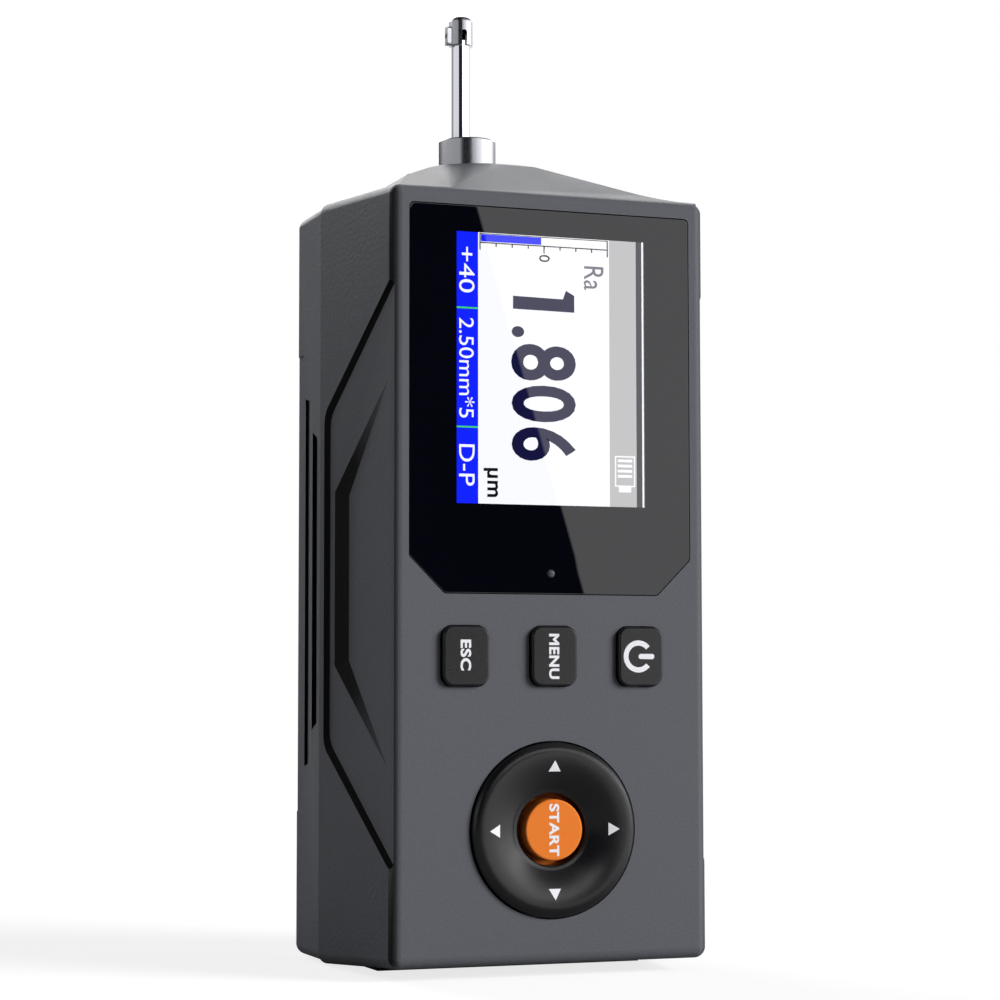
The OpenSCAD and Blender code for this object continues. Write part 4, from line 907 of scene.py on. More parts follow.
# %% Rounded outlines


def quarter_round(middle, reach, steps):
    """Points of a quarter round about a middle, from its reach across to its reach along."""
    turns = [math.radians(90 * step / steps) for step in range(steps + 1)]
    return [(middle[0] + reach[0] * math.cos(t), middle[1] + reach[1] * math.sin(t)) for t in turns]


def rounded_rectangle(x, h, width, height, radius, d, steps=8):
    """Points round a rectangle with rounded corners, at depth d."""
    points = []
    for quarter, (sx, sh) in enumerate(((1, 1), (-1, 1), (-1, -1), (1, -1))):
        for step in range(steps + 1):
            turn = math.radians(90 * quarter + 90 * step / steps)
            points.append(at(x + sx * (width / 2 - radius) + radius * math.cos(turn),
                             h + sh * (height / 2 - radius) + radius * math.sin(turn), d))
    return points


print("a quarter round in 2 steps:", [round(b, 2) for a, b in quarter_round((0, 0), (1, 1), steps=2)])

# %% [markdown]
# Each key is a moulded cap that stands a little proud of the shell, with a flange behind the opening that
# stops it from falling out and a short stem that presses the switch. A bevelled box would give the cap
# alone. Outlines laid one behind the other give cap and flange in one skin, with a quarter round at the
# edge of the face.

# %% Keys
KEY_BODIES = {"esc_key": "esc_button", "menu_key": "menu_button", "power_key": "power_button"}
KEY_FACE = span("menu_key")[2][0]
# The cap: the round of its corners, and the round of its face's edge.
KEY_CORNER = 2.02
KEY_ROUND = 0.45
# The flange: how far it stands out round the cap, and the depths of its front and its back.
KEY_FLANGE = 1.0
KEY_FLANGE_D = (2.85, 3.75)
# The stem: its radius, the bevel of its end, and how far it starts inside the flange.
STEM_R = 1.5
STEM_EDGE = 0.1
STEM_IN = 0.05


def key_cap(name):
    """A key's cap, flange and stem, in the place of its solid."""
    (left, right), (low, high), (face, end) = span(name)
    x, h = (left + right) / 2, (low + high) / 2
    sections = [(0.0, KEY_FLANGE_D[1]), (0.0, KEY_FLANGE_D[0]), (-KEY_FLANGE, KEY_FLANGE_D[0])]
    sections += quarter_round((-KEY_FLANGE - KEY_ROUND, face + KEY_ROUND), (KEY_ROUND, -KEY_ROUND), steps=5)
    build = bmesh.new()
    loft(build, [rounded_rectangle(x, h, right - left + 2 * grow, high - low + 2 * grow,
                                   KEY_CORNER + KEY_FLANGE + grow, d) for grow, d in sections])
    stem = ((STEM_R, KEY_FLANGE_D[1] - STEM_IN), (STEM_R, end - STEM_EDGE), (STEM_R - STEM_EDGE, end))
    loft(build, [circle(x, h, radius, d, steps=24) for radius, d in stem])
    return mesh_from(build)


for name, body in KEY_BODIES.items():
    keep_piece(name + "_cap", key_cap(name), body, [finishes["key_plastic"]], [name])
print(len(KEY_BODIES), "keys, faces", round(-KEY_FACE, 2), "mm proud")

# %% [markdown]
# Legends are printed on the keys with a soft pad. Two are words; the third is the usual sign for power, a
# ring with an opening and a bar through it. The ring is a closed band of ink whose section is carried
# round its arc, and the bar is a rounded box.

# %% Key legends
LEGEND_BOLD = 0.035
LEGENDS = (("esc_legend", "ESC", (-18.1, -16.07, 52.55, 58.05), "esc_button"),
           ("menu_legend", "MENU", (-1.18, 0.81, 51.04, 59.18), "menu_button"))
for name, words, box, body in LEGENDS:
    lettering(name, words, box, KEY_FACE, body, pad_ink, LEGEND_BOLD)
# The power sign: its ring, half the ring's opening in degrees, the width of its lines, and its bar.
POWER_X = 16.35
POWER_H = sum(span("power_key")[1]) / 2
POWER_R = 2.45
POWER_OPENING = 40
POWER_LINE = 0.95
POWER_BAR_X = 17.95
POWER_BAR_LONG = 3.1
POWER_BAR_ROUND = 0.4
POWER_STEPS = 40


def power_sign():
    """The power sign as closed bands of ink on the key's face."""
    arc = []
    for step in range(POWER_STEPS + 1):
        turn = math.radians(POWER_OPENING + (360 - 2 * POWER_OPENING) * step / POWER_STEPS)
        ring = []
        for side, d in ((-1, SUNK), (1, SUNK), (1, -INK), (-1, -INK)):
            r = POWER_R + side * POWER_LINE / 2
            ring.append(at(POWER_X + r * math.cos(turn), POWER_H + r * math.sin(turn), KEY_FACE + d))
        arc.append(ring)
    build = bmesh.new()
    loft(build, arc)
    loft(build, [rounded_rectangle(POWER_BAR_X, POWER_H, POWER_BAR_LONG, POWER_LINE, POWER_BAR_ROUND,
                                   KEY_FACE + d, steps=4) for d in (SUNK, -INK)])
    return mesh_from(build)


keep_piece("power_legend", power_sign(), "power_button", [pad_ink])
print("power sign", round(2 * POWER_R + POWER_LINE, 2), "mm across")

# %% [markdown]
# The direction pad is a ring whose face is a smooth dish that rises to a rounded rim, which guides a thumb.
# A stretched torus has no such dish, so the ring's section is drawn first: a curve for the dish, soft rounds
# at the hole and the rim, and the flange that holds the ring in the case.

# %% Section of the ring
# The dish: the radii and the depths of its two ends, and how strongly its curve bends.
DISH_R = (7.2, 14.0)
DISH_D = (0.55, -1.3)
DISH_POWER = 1.8
DISH_STEPS = 24
# The rounds of the hole's lip and of the rim, as rows of radius and depth.
LIP = ((6.5, 0.95), (6.62, 0.7), (6.9, 0.57))
RIM = ((14.5, -1.27), (15.0, -1.12), (15.4, -0.85), (15.62, -0.5), (15.7, -0.1))
HOLE_R = LIP[0][0]
RING_R = RIM[-1][0]
# The flange behind: its radius, and the depths of its front and its back.
FLANGE_R = 17.2
FLANGE_D = (3.8, 4.4)


def dish(r):
    """Depth of the ring's face at radius r: a bowl that is steepest at the button and level at the rim."""
    t = min(1, max(0, (r - DISH_R[0]) / (DISH_R[1] - DISH_R[0])))
    return DISH_D[0] + (DISH_D[1] - DISH_D[0]) * (1 - (1 - t) ** DISH_POWER)


def ring_profile():
    """The ring's section as radius and depth, from its hole round its face and back."""
    radii = [DISH_R[0] + (DISH_R[1] - DISH_R[0]) * i / DISH_STEPS for i in range(DISH_STEPS + 1)]
    face = [*LIP, *((r, dish(r)) for r in radii), *RIM]
    flange = [(RING_R, FLANGE_D[0]), (FLANGE_R, FLANGE_D[0]), (FLANGE_R, FLANGE_D[1])]
    return [(HOLE_R, FLANGE_D[1])] + face + flange


print("section of", len(ring_profile()), "points, dish", round(DISH_D[0] - DISH_D[1], 2), "mm deep")

# %% [markdown]
# A section becomes a ring by turning it about the middle, as on a lathe. Blender's Screw modifier can do
# that too, but a function can turn about any axis and is used again for the pickup. The two lugs with
# pins that the ring tilts on are skins, joined to it.

# %% Direction ring
PAD_H = sum(span("start_button")[1]) / 2
TURN_STEPS = 96
# A lug: its distance from the pad's middle, its size and its depths.
LUG_REACH = 7.9
LUG_SIZE = (2.4, 1.4)
LUG_CORNER = 0.3
LUG_D = (4.3, 6.7, 6.8)
# A pin: its radius, its depth and its two ends.
PIN_R = 0.55
PIN_D = 6.0
PIN_REACH = (8.5, 9.6)


def turned(profile, place):
    """A closed section of radius and length, turned about the axis that place puts its points round."""
    build = bmesh.new()
    loops = []
    for step in range(TURN_STEPS):
        t = 2 * math.pi * step / TURN_STEPS
        points = [place(r * math.cos(t), r * math.sin(t), length) for r, length in profile]
        loops.append([build.verts.new(point) for point in points])
    count = len(profile)
    for a, b in zip(loops, loops[1:] + loops[:1]):
        for j in range(count):
            k = (j + 1) % count
            build.faces.new((a[j], a[k], b[k], b[j]))
    return build


build = turned(ring_profile(), lambda across, up, d: at(across, PAD_H + up, d))
for side in (1, -1):
    loft(build, [rounded_rectangle(0, PAD_H + side * LUG_REACH, *LUG_SIZE, LUG_CORNER, d, steps=3)
                 for d in LUG_D])
    turns = [2 * math.pi * i / 20 for i in range(20)]
    loft(build, [[at(PIN_R * math.cos(t), PAD_H + side * reach, PIN_D + PIN_R * math.sin(t)) for t in turns]
                 for reach in PIN_REACH])
keep_piece("direction_ring", mesh_from(build), "direction_pad", [finishes["key_plastic"]],
           ["dpad_ring"])
print("ring", 2 * RING_R, "mm across")

# %% [markdown]
# Four arrows stand a quarter turn apart on the dish, so Geometry Nodes set one triangle on each point of
# a circle, turned outwards. Their points are then laid on the dish's curve, so that the ink follows the
# surface.

# %% Arrows on the ring
# How far the arrows stand from the pad's middle, and how far their corners are from their own middles.
ARROW_R = 11.15
ARROW = 1.35
# The ink's face stands this far over the dish, and its back lies this far under it.
ARROW_INK = 0.04
ARROW_SUNK = 0.08


def arrow_tree():
    """A tree that sets a triangle on each of some points of a circle, pointing outwards."""
    tree, given = open_tree("arrows_round_a_ring", Count="Int", Radius="Float", Size="Float",
                            Finish="Material")
    ring = add_node(tree, "GeometryNodeMeshCircle", {"Vertices": given["Count"], "Radius": given["Radius"]})
    arrow = add_node(tree, "GeometryNodeMeshCone", {"Vertices": 3, "Side Segments": 1, "Fill Segments": 3,
                                                    "Radius Top": given["Size"],
                                                    "Radius Bottom": given["Size"], "Depth": 1.0})
    place = add_node(tree, "GeometryNodeInputPosition")
    facing = add_node(tree, "FunctionNodeAlignRotationToVector", {"Vector": place.outputs["Position"]},
                      axis="X")
    laid = add_node(tree, "GeometryNodeInstanceOnPoints", {"Points": ring.outputs["Mesh"],
                                                           "Instance": arrow.outputs["Mesh"],
                                                           "Rotation": facing.outputs["Rotation"]})
    return close_tree(tree, given, laid)


arrows = mesh_from_tree(arrow_tree(), Count=4, Radius=ARROW_R, Size=ARROW, Finish=pad_ink)
middle = sum(v.co.z for v in arrows.vertices) / len(arrows.vertices)
for v in arrows.vertices:
    lift = ARROW_INK if v.co.z > middle else -ARROW_SUNK
    v.co = at(v.co.x, PAD_H + v.co.y, dish(math.hypot(v.co.x, v.co.y)) - lift)
keep_piece("ring_arrows", arrows, "direction_pad", [])
print("arrows have", len(arrows.polygons), "faces")

# %% [markdown]
# The start button is an orange disc in the ring's hole, with a softly rounded edge and a flange behind
# that keeps it in the ring. Circles laid one behind the other give all of it, as they gave the lens.

# %% Start button
START_FACE = span("start_button")[2][0]
# The disc's radius, and the radius and the depths of its flange.
START_R = 5.5
START_FLANGE_R = 7.0
START_FLANGE_D = (4.8, 5.4)
# The rounded edge, as rows of how far it is drawn in and how far it lies behind the face. Its first row is
# on the wall and keeps the shading even.
START_EDGE = ((0.0, 0.7), (0.0, 0.3), (0.03, 0.17), (0.12, 0.07), (0.25, 0.015), (0.4, 0.0))
start_sections = [(START_FLANGE_R, START_FLANGE_D[1]), (START_FLANGE_R, START_FLANGE_D[0]),
                  (START_R, START_FLANGE_D[0])]
start_sections += [(START_R - inset, START_FACE + behind) for inset, behind in START_EDGE]
start_disc = lofted([circle(0, PAD_H, r, d, steps=72) for r, d in start_sections])
keep_piece("start_disc", start_disc, "start", [finishes["orange_plastic"]],
           ["start_button"])
START_BOX = (-0.95, 0.98, 19.28, 28.65)
lettering("start_legend", "START", START_BOX, START_FACE, "start", pad_ink, LEGEND_BOLD)
print("start button", 2 * START_R, "mm across")

# %% [markdown]
# The bush and the tube of the pickup are turned and plated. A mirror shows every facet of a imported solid,
# so each is turned again here from its section in fine, even steps, with the small roundings that a lathe
# tool leaves.

# %% Bush and tube
AXIS_D = sum(span("pickup_tube")[2]) / 2
# The bush: its radii, the height of its flange, its axis and its two ends.
BUSH_R = 5.45
BUSH_BORE = 4.25
BUSH_FLANGE = 7.2
BUSH_FLANGE_HIGH = 2.4
BUSH_X = span("nose_bush")[0][1] - BUSH_FLANGE
BUSH_LOW, BUSH_TOP = span("nose_bush")[1]
# A row on its walls at this height keeps the shading even.
BUSH_WALL = 149.0
# The rounds of its rim outside and inside, as rows of how far they stand off the wall and below the top.
BUSH_RIM = ((0.0, 0.3), (0.03, 0.151), (0.13, 0.041), (0.3, 0.0))
BUSH_LIP = ((0.2, 0.0), (0.06, 0.041), (0.0, 0.201))
# The tube: its axis, its radii, its lower end, and how far its upper end stands inside the head.
TUBE_X = sum(span("pickup_tube")[0]) / 2
TUBE_R = 1.75
TUBE_BORE = 1.2
TUBE_LOW = span("pickup_tube")[1][0]
TUBE_IN = 0.95
TUBE_STEPS = 12
HEAD_R = (span("pickup_head")[0][1] - span("pickup_head")[0][0]) / 2
HEAD_H, HEAD_TOP = span("pickup_head")[1]


def upright(axis_x, profile):
    """A closed section of radius and height, turned about an upright axis at axis_x, as a plain mesh."""
    return mesh_from(turned(profile, lambda across, inward, h: at(axis_x + across, h, AXIS_D + inward)))


bush = [(BUSH_BORE, BUSH_LOW), (BUSH_FLANGE, BUSH_LOW), (BUSH_FLANGE, BUSH_LOW + BUSH_FLANGE_HIGH),
        (BUSH_R, BUSH_LOW + BUSH_FLANGE_HIGH), (BUSH_R, BUSH_WALL)]
bush += [(BUSH_R - off, BUSH_TOP - below) for off, below in BUSH_RIM]
bush += [(BUSH_BORE + off, BUSH_TOP - below) for off, below in BUSH_LIP]
bush += [(BUSH_BORE, BUSH_WALL)]
keep_piece("nose_bush_plated", upright(BUSH_X, bush), "root", [finishes["nose_steel"]],
           ["nose_bush"])
tube_top = HEAD_H + TUBE_IN
rises = [TUBE_LOW + (tube_top - TUBE_LOW) * i / TUBE_STEPS for i in range(TUBE_STEPS + 1)]
tube = [(TUBE_R, h) for h in rises] + [(TUBE_BORE, h) for h in reversed(rises)]
keep_piece("pickup_tube_plated", upright(TUBE_X, tube), "pickup_carriage", [finishes["chrome"]],
           ["pickup_tube"])
print("bush", 2 * BUSH_R, "mm and tube", 2 * TUBE_R, "mm across")

# %% [markdown]
# The head is a short cap with a rounded end that the tube is pressed into. Three cutters then take out
# what a mill takes out of the real one: the slot at the front, the hole that the stylus looks out of, and
# the flat seat of the skid. Cutting keeps the cap's many even rings, and with them a clean mirror round
# the cuts.

# %% Cutting tools
# The skid: its face and its back in x from the pickup's axis, its height and half its width.
SKID_X = [x - TUBE_X for x in span("skid")[0]]
SKID_HEIGHT = span("skid")[1][1] - HEAD_H
SKID_HALF = 0.7
# The slot: its upper end over the head's lower end, its width and length, and the round of its corners.
SLOT_TOP = 2.95
SLOT_SIZE = (1.0, 4.0)
SLOT_ROUND = 0.45
# The stylus' hole: its height over the head's lower end, and its radius.
STYLUS_HOLE_H = 1.9
STYLUS_HOLE_R = 0.5
# How far a cutter reaches past what it cuts.
PAST = 1.0


def cut_out(mesh, cutters):
    """A copy of a mesh with each of the cutters taken out of it."""
    holder = add_object("cut_piece", mesh)
    tools = [add_object("cutter", cutter) for cutter in cutters]
    for tool in tools:
        cut = holder.modifiers.new("cut", "BOOLEAN")
        cut.operation = "DIFFERENCE"
        cut.solver = "EXACT"
        cut.object = tool
    done = plain_mesh(holder)
    for tool in tools:
        bpy.data.objects.remove(tool)
    return done


def bored(reach):
    """A cutter for the stylus' hole, which runs reach mm to the left of the pickup's axis."""
    turns = [2 * math.pi * i / 40 for i in range(40)]
    return lofted([[at(TUBE_X + x, HEAD_H + STYLUS_HOLE_H + STYLUS_HOLE_R * math.cos(t),
                       AXIS_D + STYLUS_HOLE_R * math.sin(t)) for t in turns] for x in (-reach, 0.0)])


slot_h = HEAD_H + SLOT_TOP - SLOT_SIZE[1] / 2
slot_cutter = lofted([rounded_rectangle(TUBE_X, slot_h, *SLOT_SIZE, SLOT_ROUND, d)
                      for d in (AXIS_D - HEAD_R - PAST, AXIS_D)])
seat = ((-SKID_HALF, -PAST), (SKID_HALF, -PAST), (SKID_HALF, SKID_HEIGHT), (-SKID_HALF, SKID_HEIGHT))
seat_cutter = lofted([[at(TUBE_X + x, HEAD_H + h, AXIS_D + d) for d, h in seat] for x in SKID_X])
print("cutters for the slot,", SLOT_SIZE[0], "mm wide, and the seat,", 2 * SKID_HALF, "mm wide")

# %% [markdown]
# The cap itself is turned like the tube: a wall of even rings, a rounded end, a low crown and a bore.
# The walls inside it take the black oxide steel as painted shade.

# %% Head of the pickup
# The wall: its chamfer, and the even steps that it is turned in.
HEAD_CHAMFER = 0.12
WALL_STEP = 0.3
WALL_STEPS = 15
# The rounded end: its radius, the height of its middle, and the degrees that it turns.
DOME_R = 0.95
DOME_H = 4.7
DOME_TURN = 85
# The crown beyond it falls by this much at 1 mm from the axis, and more with the distance squared.
CROWN = 0.03
# The bore: its upper end over the head's lower end, and the play round the tube.
BORE_TOP = 3.0
SOCKET_PLAY = 0.01
# Painted shade in black oxide steel reaches up to this height inside, on faces whose normals are less
# upright than this.
PAINTED_SHADE_H = 4.5
PAINTED_SHADE_UPRIGHT = 0.9


def head_profile():
    """The cap's section as radius and height: wall, rounded end, crown and the bore's closed top."""
    wall = [(HEAD_R - HEAD_CHAMFER, 0.0), (HEAD_R, HEAD_CHAMFER)]
    wall += [(HEAD_R, WALL_STEP * i) for i in range(1, WALL_STEPS + 1)]
    turns = [math.radians(DOME_TURN * i / 10) for i in range(11)]
    dome = [(HEAD_R - DOME_R + DOME_R * math.cos(t), DOME_H + DOME_R * math.sin(t)) for t in turns]
    crown = [(r, HEAD_TOP - HEAD_H - CROWN * r * r) for r in (1.0, 0.6, 0.0)]
    socket = TUBE_R + SOCKET_PLAY
    bore = [(0.0, BORE_TOP), (TUBE_BORE, BORE_TOP), (TUBE_BORE, TUBE_IN), (socket, TUBE_IN), (socket, 0.0)]
    return [(r, HEAD_H + rise) for r, rise in wall + dome + crown + bore]


cap = cut_out(upright(TUBE_X, head_profile()), [slot_cutter, bored(-SKID_X[0]), seat_cutter])
axis = at(TUBE_X, HEAD_H, AXIS_D)
# Painted shade: faces inside the bore, below that height, get the black oxide steel.
for face in cap.polygons:
    off = (face.center - axis) / MM
    inside = math.hypot(off.x, off.y) < TUBE_R and off.z < PAINTED_SHADE_H
    face.material_index = 1 if inside and abs(face.normal.z) < PAINTED_SHADE_UPRIGHT else 0
keep_piece("pickup_head_plated", cap, "pickup_carriage", [finishes["nose_steel"], finishes["black_steel"]],
           ["pickup_head"])
print("head", round(2 * HEAD_R, 2), "mm across, with", len(cap.polygons), "faces")

# %% [markdown]
# The skid rests on the work round the stylus: a narrow polished plate in the head's seat, with a hole
# that the tip looks out of. The pin that the stylus arm swings on is pressed into the tube and ground off
# under the plating, so its ends lie inside the tube's wall.

# %% Skid and pivot pin
# The round of the plate's corners.
SKID_CORNER = 0.5
# The skid's rounded face, as rows of how far it lies behind the face and how far it is drawn in.
SKID_EDGE = ((0.15, 0.0), (0.05, 0.03), (0.0, 0.12))
# How much of its length the pin keeps.
PIN_SHARE = 0.9


def plate_outline(x, inset):
    """The skid's outline at x from the pickup's axis, drawn in by inset."""
    flat = rounded_rectangle(0, 0, 2 * (SKID_HALF - inset), SKID_HEIGHT - 2 * inset, SKID_CORNER - inset, 0)
    return [at(TUBE_X + x, HEAD_H + SKID_HEIGHT / 2 + v.z / MM - FOOT_Z, AXIS_D + v.x / MM) for v in flat]


rings = [plate_outline(SKID_X[1], 0)]
rings += [plate_outline(SKID_X[0] + behind, inset) for behind, inset in SKID_EDGE]
skid = cut_out(lofted(rings), [bored(PAST - SKID_X[0])])
keep_piece("skid_polished", skid, "pickup_carriage", [finishes["ground_steel"]], ["skid"])
pin = plain_mesh(merged_copy("pivot_pin"))
for v in pin.vertices:
    v.co.y = axis.y + PIN_SHARE * (v.co.y - axis.y)
keep_piece("pivot_pin_ground", pin, "pickup_carriage", [finishes["brass"]], ["pivot_pin"])
print("skid has", len(skid.polygons), "faces and the pin", len(pin.polygons))

# %% [markdown]
# The camera stands where the photographer stood, with the same lens angle. Placing it by eye would take
# many tries, so its place and its three directions came from fitting straight edges of the front face.

# %% Camera
RIGHT = Vector((0.93719, -0.34882, -0.00118))
UP = Vector((-0.02398, -0.06778, 0.99741))
FORWARD = Vector((0.34800, 0.93474, 0.07189))
CAMERA_PLACE = Vector((-0.174687, -0.468382, 0.051590))
lens = bpy.data.cameras.new("camera")
lens.lens = 94.48
lens.sensor_width = 36
lens.clip_start = 0.01
camera = add_object("camera", lens)
turn = Matrix((RIGHT, UP, -FORWARD)).transposed().to_4x4()
camera.matrix_world = Matrix.Translation(CAMERA_PLACE) @ turn
scene.camera = camera
print("camera", round((CAMERA_PLACE - at(0, MIDDLE_H, 0)).length / MM), "mm from the front")

# %% [markdown]
# The floor is pale and keeps the object's shadow. Part of its brightness is its own light, shown only to
# the camera and to mirrors and glass, so that the ground stays white without more light on the object. In
# mirrors the floor carries a painted pool of light: it is bright on the right, under the lamp, and falls
# off to the left.

# %% Floor
# Half the floor's width in metres, and the strength of its own light.
FLOOR_REACH = 3
FLOOR_GLOW = 0.78
# In mirrors the glow is a painted pool of light: it grows between these places along x, in metres, up to
# this share of itself.
FLOOR_PAINTED_POOL = (0.02, 0.12)
FLOOR_PAINTED_POOL_SHARE = 1.4
build = bmesh.new()
for x, y in ((-1, -1), (1, -1), (1, 1), (-1, 1)):
    build.verts.new((FLOOR_REACH * x, FLOOR_REACH * y, 0))
build.faces.new(build.verts)
ground = bpy.data.meshes.new("floor")
build.to_mesh(ground)
build.free()
floor = add_object("floor", ground)
# White paper is matt, without any sheen.
white_floor, tree, shader, place = new_material("white_paper_floor", "#a0a0a2", Roughness=0.9,
                                                Specular_IOR_Level=0.0)
seen = add_node(tree, "ShaderNodeLightPath").outputs
across = add_node(tree, "ShaderNodeSeparateXYZ", {"Vector": place}).outputs["X"]
# Painted pool of light: in mirrors the floor's glow grows towards the right.
lit = add_node(tree, "ShaderNodeMapRange", {"Value": across, "From Min": FLOOR_PAINTED_POOL[0],
                                            "From Max": FLOOR_PAINTED_POOL[1], "To Max": FLOOR_PAINTED_POOL_SHARE})
mirrored = add_node(tree, "ShaderNodeMath", {0: seen["Is Glossy Ray"], 1: lit.outputs["Result"],
                                             2: seen["Is Camera Ray"]}, operation="MULTIPLY_ADD")
shown = add_node(tree, "ShaderNodeMath", {0: mirrored.outputs[0], 1: seen["Is Transmission Ray"]},
                 operation="ADD")
glow = add_node(tree, "ShaderNodeMath", {0: shown.outputs[0], 1: FLOOR_GLOW}, operation="MULTIPLY")
own = add_node(tree, "ShaderNodeEmission", {"Color": (1, 1, 1, 1), "Strength": glow.outputs[0]})
both = add_node(tree, "ShaderNodeAddShader", {0: shader.outputs["BSDF"], 1: own.outputs["Emission"]})
tree.links.new(both.outputs["Shader"], tree.nodes["Material Output"].inputs["Surface"])
ground.materials.append(white_floor)
print("floor at z = 0")

# %% [markdown]
# The room is white to the camera. What mirrors see of it is a studio: white walls to the right and
# behind, a pale grey one to the left, and one dark curtain near the camera, whose leaning edge shows in
# the window. An image of a studio could stand here, but a few tones are enough: the azimuth of a
# direction, with some of its height added to lean the edge, picks the tone from a ramp.

# %% Room
# This share of a direction's height is added to its azimuth.
LEAN = 0.277
# Tones round the room, by degrees to the right of straight before the window.
WALLS = ((-180, 0.06), (-155, 0.06), (-140, 0.3), (-100, 0.55), (-54, 0.5), (20, 1.35), (38, 1.4), (52, 2.2),
         (105, 1.8), (118, 0.5), (150, 0.4), (165, 0.25), (179, 0.06))
world = bpy.data.worlds.new("studio")
scene.world = world
world.use_nodes = True
tree = world.node_tree
tree.nodes.clear()
ray = add_node(tree, "ShaderNodeTexCoord").outputs["Generated"]
way = add_node(tree, "ShaderNodeSeparateXYZ", {"Vector": ray}).outputs
ahead = add_node(tree, "ShaderNodeMath", {0: way["Y"], 1: -1.0}, operation="MULTIPLY").outputs[0]
azimuth = add_node(tree, "ShaderNodeMath", {0: way["X"], 1: ahead}, operation="ARCTAN2").outputs[0]
height = add_node(tree, "ShaderNodeMath", {0: way["Z"]}, operation="ARCSINE").outputs[0]
leaning = add_node(tree, "ShaderNodeMath", {0: height, 1: LEAN, 2: azimuth}, operation="MULTIPLY_ADD")
leant = leaning.outputs[0]
around = add_node(tree, "ShaderNodeMapRange", {"Value": leant, "From Min": -math.pi, "From Max": math.pi})
ramp = add_node(tree, "ShaderNodeValToRGB", {"Fac": around.outputs["Result"]})
stops = ramp.color_ramp.elements
while len(stops) < len(WALLS):
    stops.new(0.5)
for stop, (degrees, tone) in zip(stops, WALLS):
    stop.position = (degrees + 180) / 360
    stop.color = (tone, tone, tone * 1.01, 1)
print("room walls:", len(WALLS), "tones round the room")

# %% [markdown]
# The curtain hangs from the left of the camera to the leaning edge. A ramp is stored as a short table and
# would blur that edge, so two narrow ranges draw the curtain instead. Higher up, where only the pickup
# looks, the curtain is narrower and the walls are brighter.

# %% Curtain
CURTAIN_TONE = (0.012, 0.012, 0.018, 1)
# Degrees between which the curtain begins, and between which it ends.
CURTAIN_FROM = [math.radians(a) for a in (-44, -38)]
CURTAIN_TO = [math.radians(a) for a in (22.80, 22.86)]
# Between these heights the curtain gets narrower by this angle, and the walls brighter by this share.
HIGH = [math.radians(a) for a in (10.8, 12.2)]
HIGH_NARROW = math.radians(19)
HIGH_BRIGHT = 0.6
high_up = add_node(tree, "ShaderNodeMapRange", {"Value": height, "From Min": HIGH[0], "From Max": HIGH[1]})
enters = add_node(tree, "ShaderNodeMapRange", {"Value": leant, "From Min": CURTAIN_FROM[0],
                                               "From Max": CURTAIN_FROM[1]})
trimmed = add_node(tree, "ShaderNodeMath", {0: high_up.outputs["Result"], 1: HIGH_NARROW, 2: leant},
                   operation="MULTIPLY_ADD")
leaves = add_node(tree, "ShaderNodeMapRange", {"Value": trimmed.outputs[0], "From Min": CURTAIN_TO[0],
                                               "From Max": CURTAIN_TO[1], "To Min": 1.0, "To Max": 0.0})
curtain = add_node(tree, "ShaderNodeMath", {0: enters.outputs["Result"], 1: leaves.outputs["Result"]},
                   operation="MULTIPLY")
hung = add_node(tree, "ShaderNodeMix", {"Factor": curtain.outputs[0], "A": ramp.outputs["Color"],
                                        "B": CURTAIN_TONE}, data_type="RGBA")
brighter = add_node(tree, "ShaderNodeMath", {0: high_up.outputs["Result"], 1: HIGH_BRIGHT, 2: 1.0},
                    operation="MULTIPLY_ADD")
print("curtain up to", round(math.degrees(CURTAIN_TO[1]), 2), "degrees")

# %% [markdown]
# A studio's ceiling is dark in front, where no lamp hangs, and pale behind the object. The first keeps the
# upper end of the mirrors calm, and the second lends a shine to what looks up and back, such as the top of
# the hump.

# %% Ceiling
# The walls fade to this share between these heights.
CEILING = [math.radians(a) for a in (16, 32)]
CEILING_SHARE = 0.08
# The pale part lies behind the object, above these heights, as the y part of a direction grows.
PALE_H = [math.radians(a) for a in (14, 20)]
PALE_Y = (0.35, 0.6)
PALE_TONE = (3.6, 3.6, 3.6, 1)
ceiling = add_node(tree, "ShaderNodeMapRange", {"Value": height, "From Min": CEILING[0],
                                                "From Max": CEILING[1], "To Min": 1.0,
                                                "To Max": CEILING_SHARE})
tone = add_node(tree, "ShaderNodeMath", {0: ceiling.outputs["Result"], 1: brighter.outputs[0]},
                operation="MULTIPLY")
walls = add_node(tree, "ShaderNodeVectorMath", {"Vector": hung.outputs["Result"], "Scale": tone.outputs[0]},
                 operation="SCALE")
behind = add_node(tree, "ShaderNodeMapRange", {"Value": way["Y"], "From Min": PALE_Y[0],
                                               "From Max": PALE_Y[1]})
above = add_node(tree, "ShaderNodeMapRange", {"Value": height, "From Min": PALE_H[0],
                                              "From Max": PALE_H[1]})
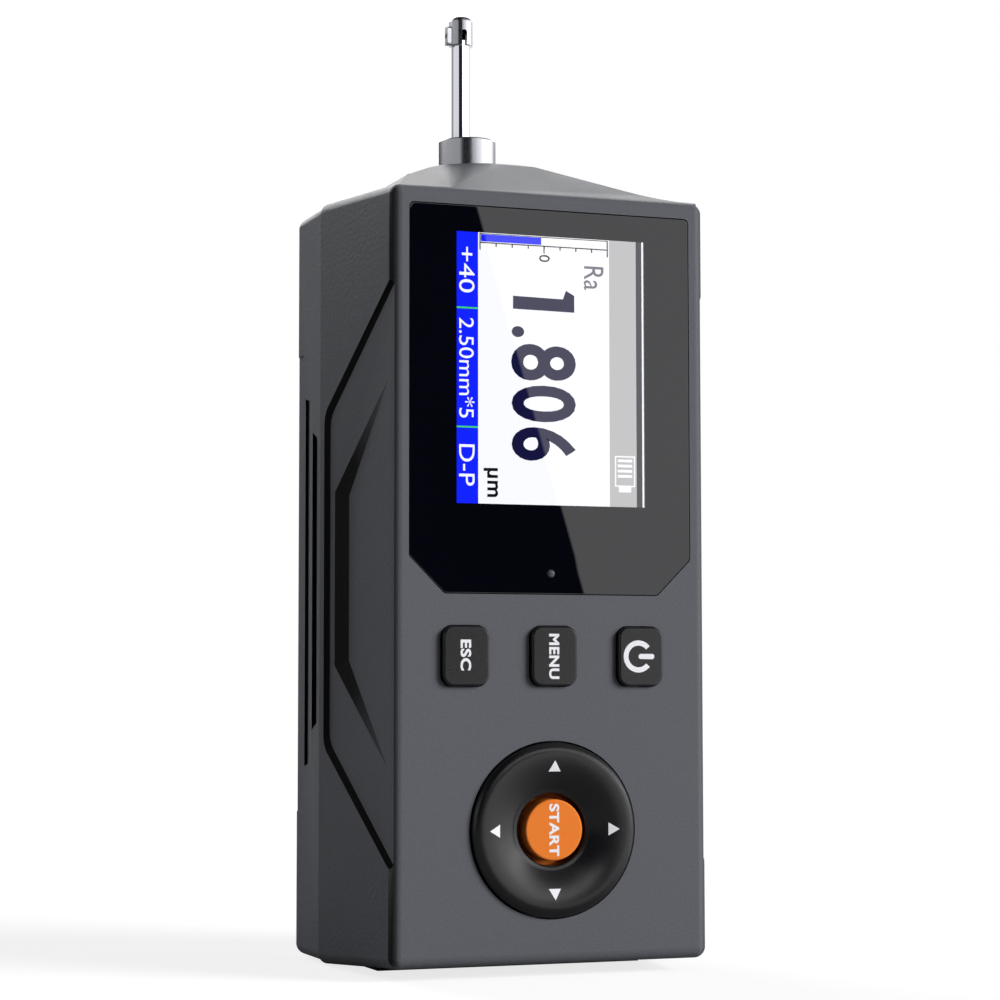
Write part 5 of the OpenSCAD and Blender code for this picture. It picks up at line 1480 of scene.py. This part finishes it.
pale = add_node(tree, "ShaderNodeMath", {0: behind.outputs["Result"], 1: above.outputs["Result"]},
                operation="MULTIPLY")
studio = add_node(tree, "ShaderNodeMix", {"Factor": pale.outputs[0], "A": walls.outputs["Vector"],
                                          "B": PALE_TONE}, data_type="RGBA")
print("ceiling from", round(math.degrees(CEILING[0])), "degrees up")

# %% [markdown]
# Three kinds of ray look at the room. Those from mirrors see its walls, those that spread from matt
# surfaces a dim and even light, and those from the camera or through clear pieces plain white, laid over
# the others last.

# %% Room, as each kind of ray sees it
# The tone that matt surfaces see.
AMBIENT = 0.09
seen = add_node(tree, "ShaderNodeLightPath").outputs
mirror = add_node(tree, "ShaderNodeMix", {"Factor": seen["Is Glossy Ray"],
                                          "A": (AMBIENT, AMBIENT, AMBIENT, 1),
                                          "B": studio.outputs["Result"]}, data_type="RGBA")
clear = add_node(tree, "ShaderNodeMath", {0: seen["Is Camera Ray"], 1: seen["Is Transmission Ray"]},
                 operation="ADD", use_clamp=True)
final = add_node(tree, "ShaderNodeMix", {"Factor": clear.outputs[0], "A": mirror.outputs["Result"],
                                         "B": (1, 1, 1, 1)}, data_type="RGBA")
light = add_node(tree, "ShaderNodeBackground", {"Color": final.outputs["Result"], "Strength": 1.0})
add_node(tree, "ShaderNodeOutputWorld", {"Surface": light.outputs["Background"]})
scene.view_settings.view_transform = "Standard"
print("room is white to the camera")

# %% [markdown]
# Two broad lamps light the plastic: a key light from the front right and above, and a rim light from
# behind on the left that picks out the hump. Both are wide, for soft shadows, and don't show in the
# mirrors, which have the room.

# %% Lamps


def broad_lamp(name, towards, strength, angle):
    """A wide, distant lamp that lights the object from the direction given."""
    lamp = bpy.data.lights.new(name, "SUN")
    lamp.energy = strength
    lamp.angle = math.radians(angle)
    holder = add_object(name, lamp)
    holder.rotation_euler = Vector(towards).to_track_quat("Z", "Y").to_euler()
    holder.visible_glossy = False


broad_lamp("key_lamp", (0.72, -0.62, 0.32), 4.2, 30)
broad_lamp("rim_lamp", (-0.19, 0.96, 0.2), 2.8, 25)
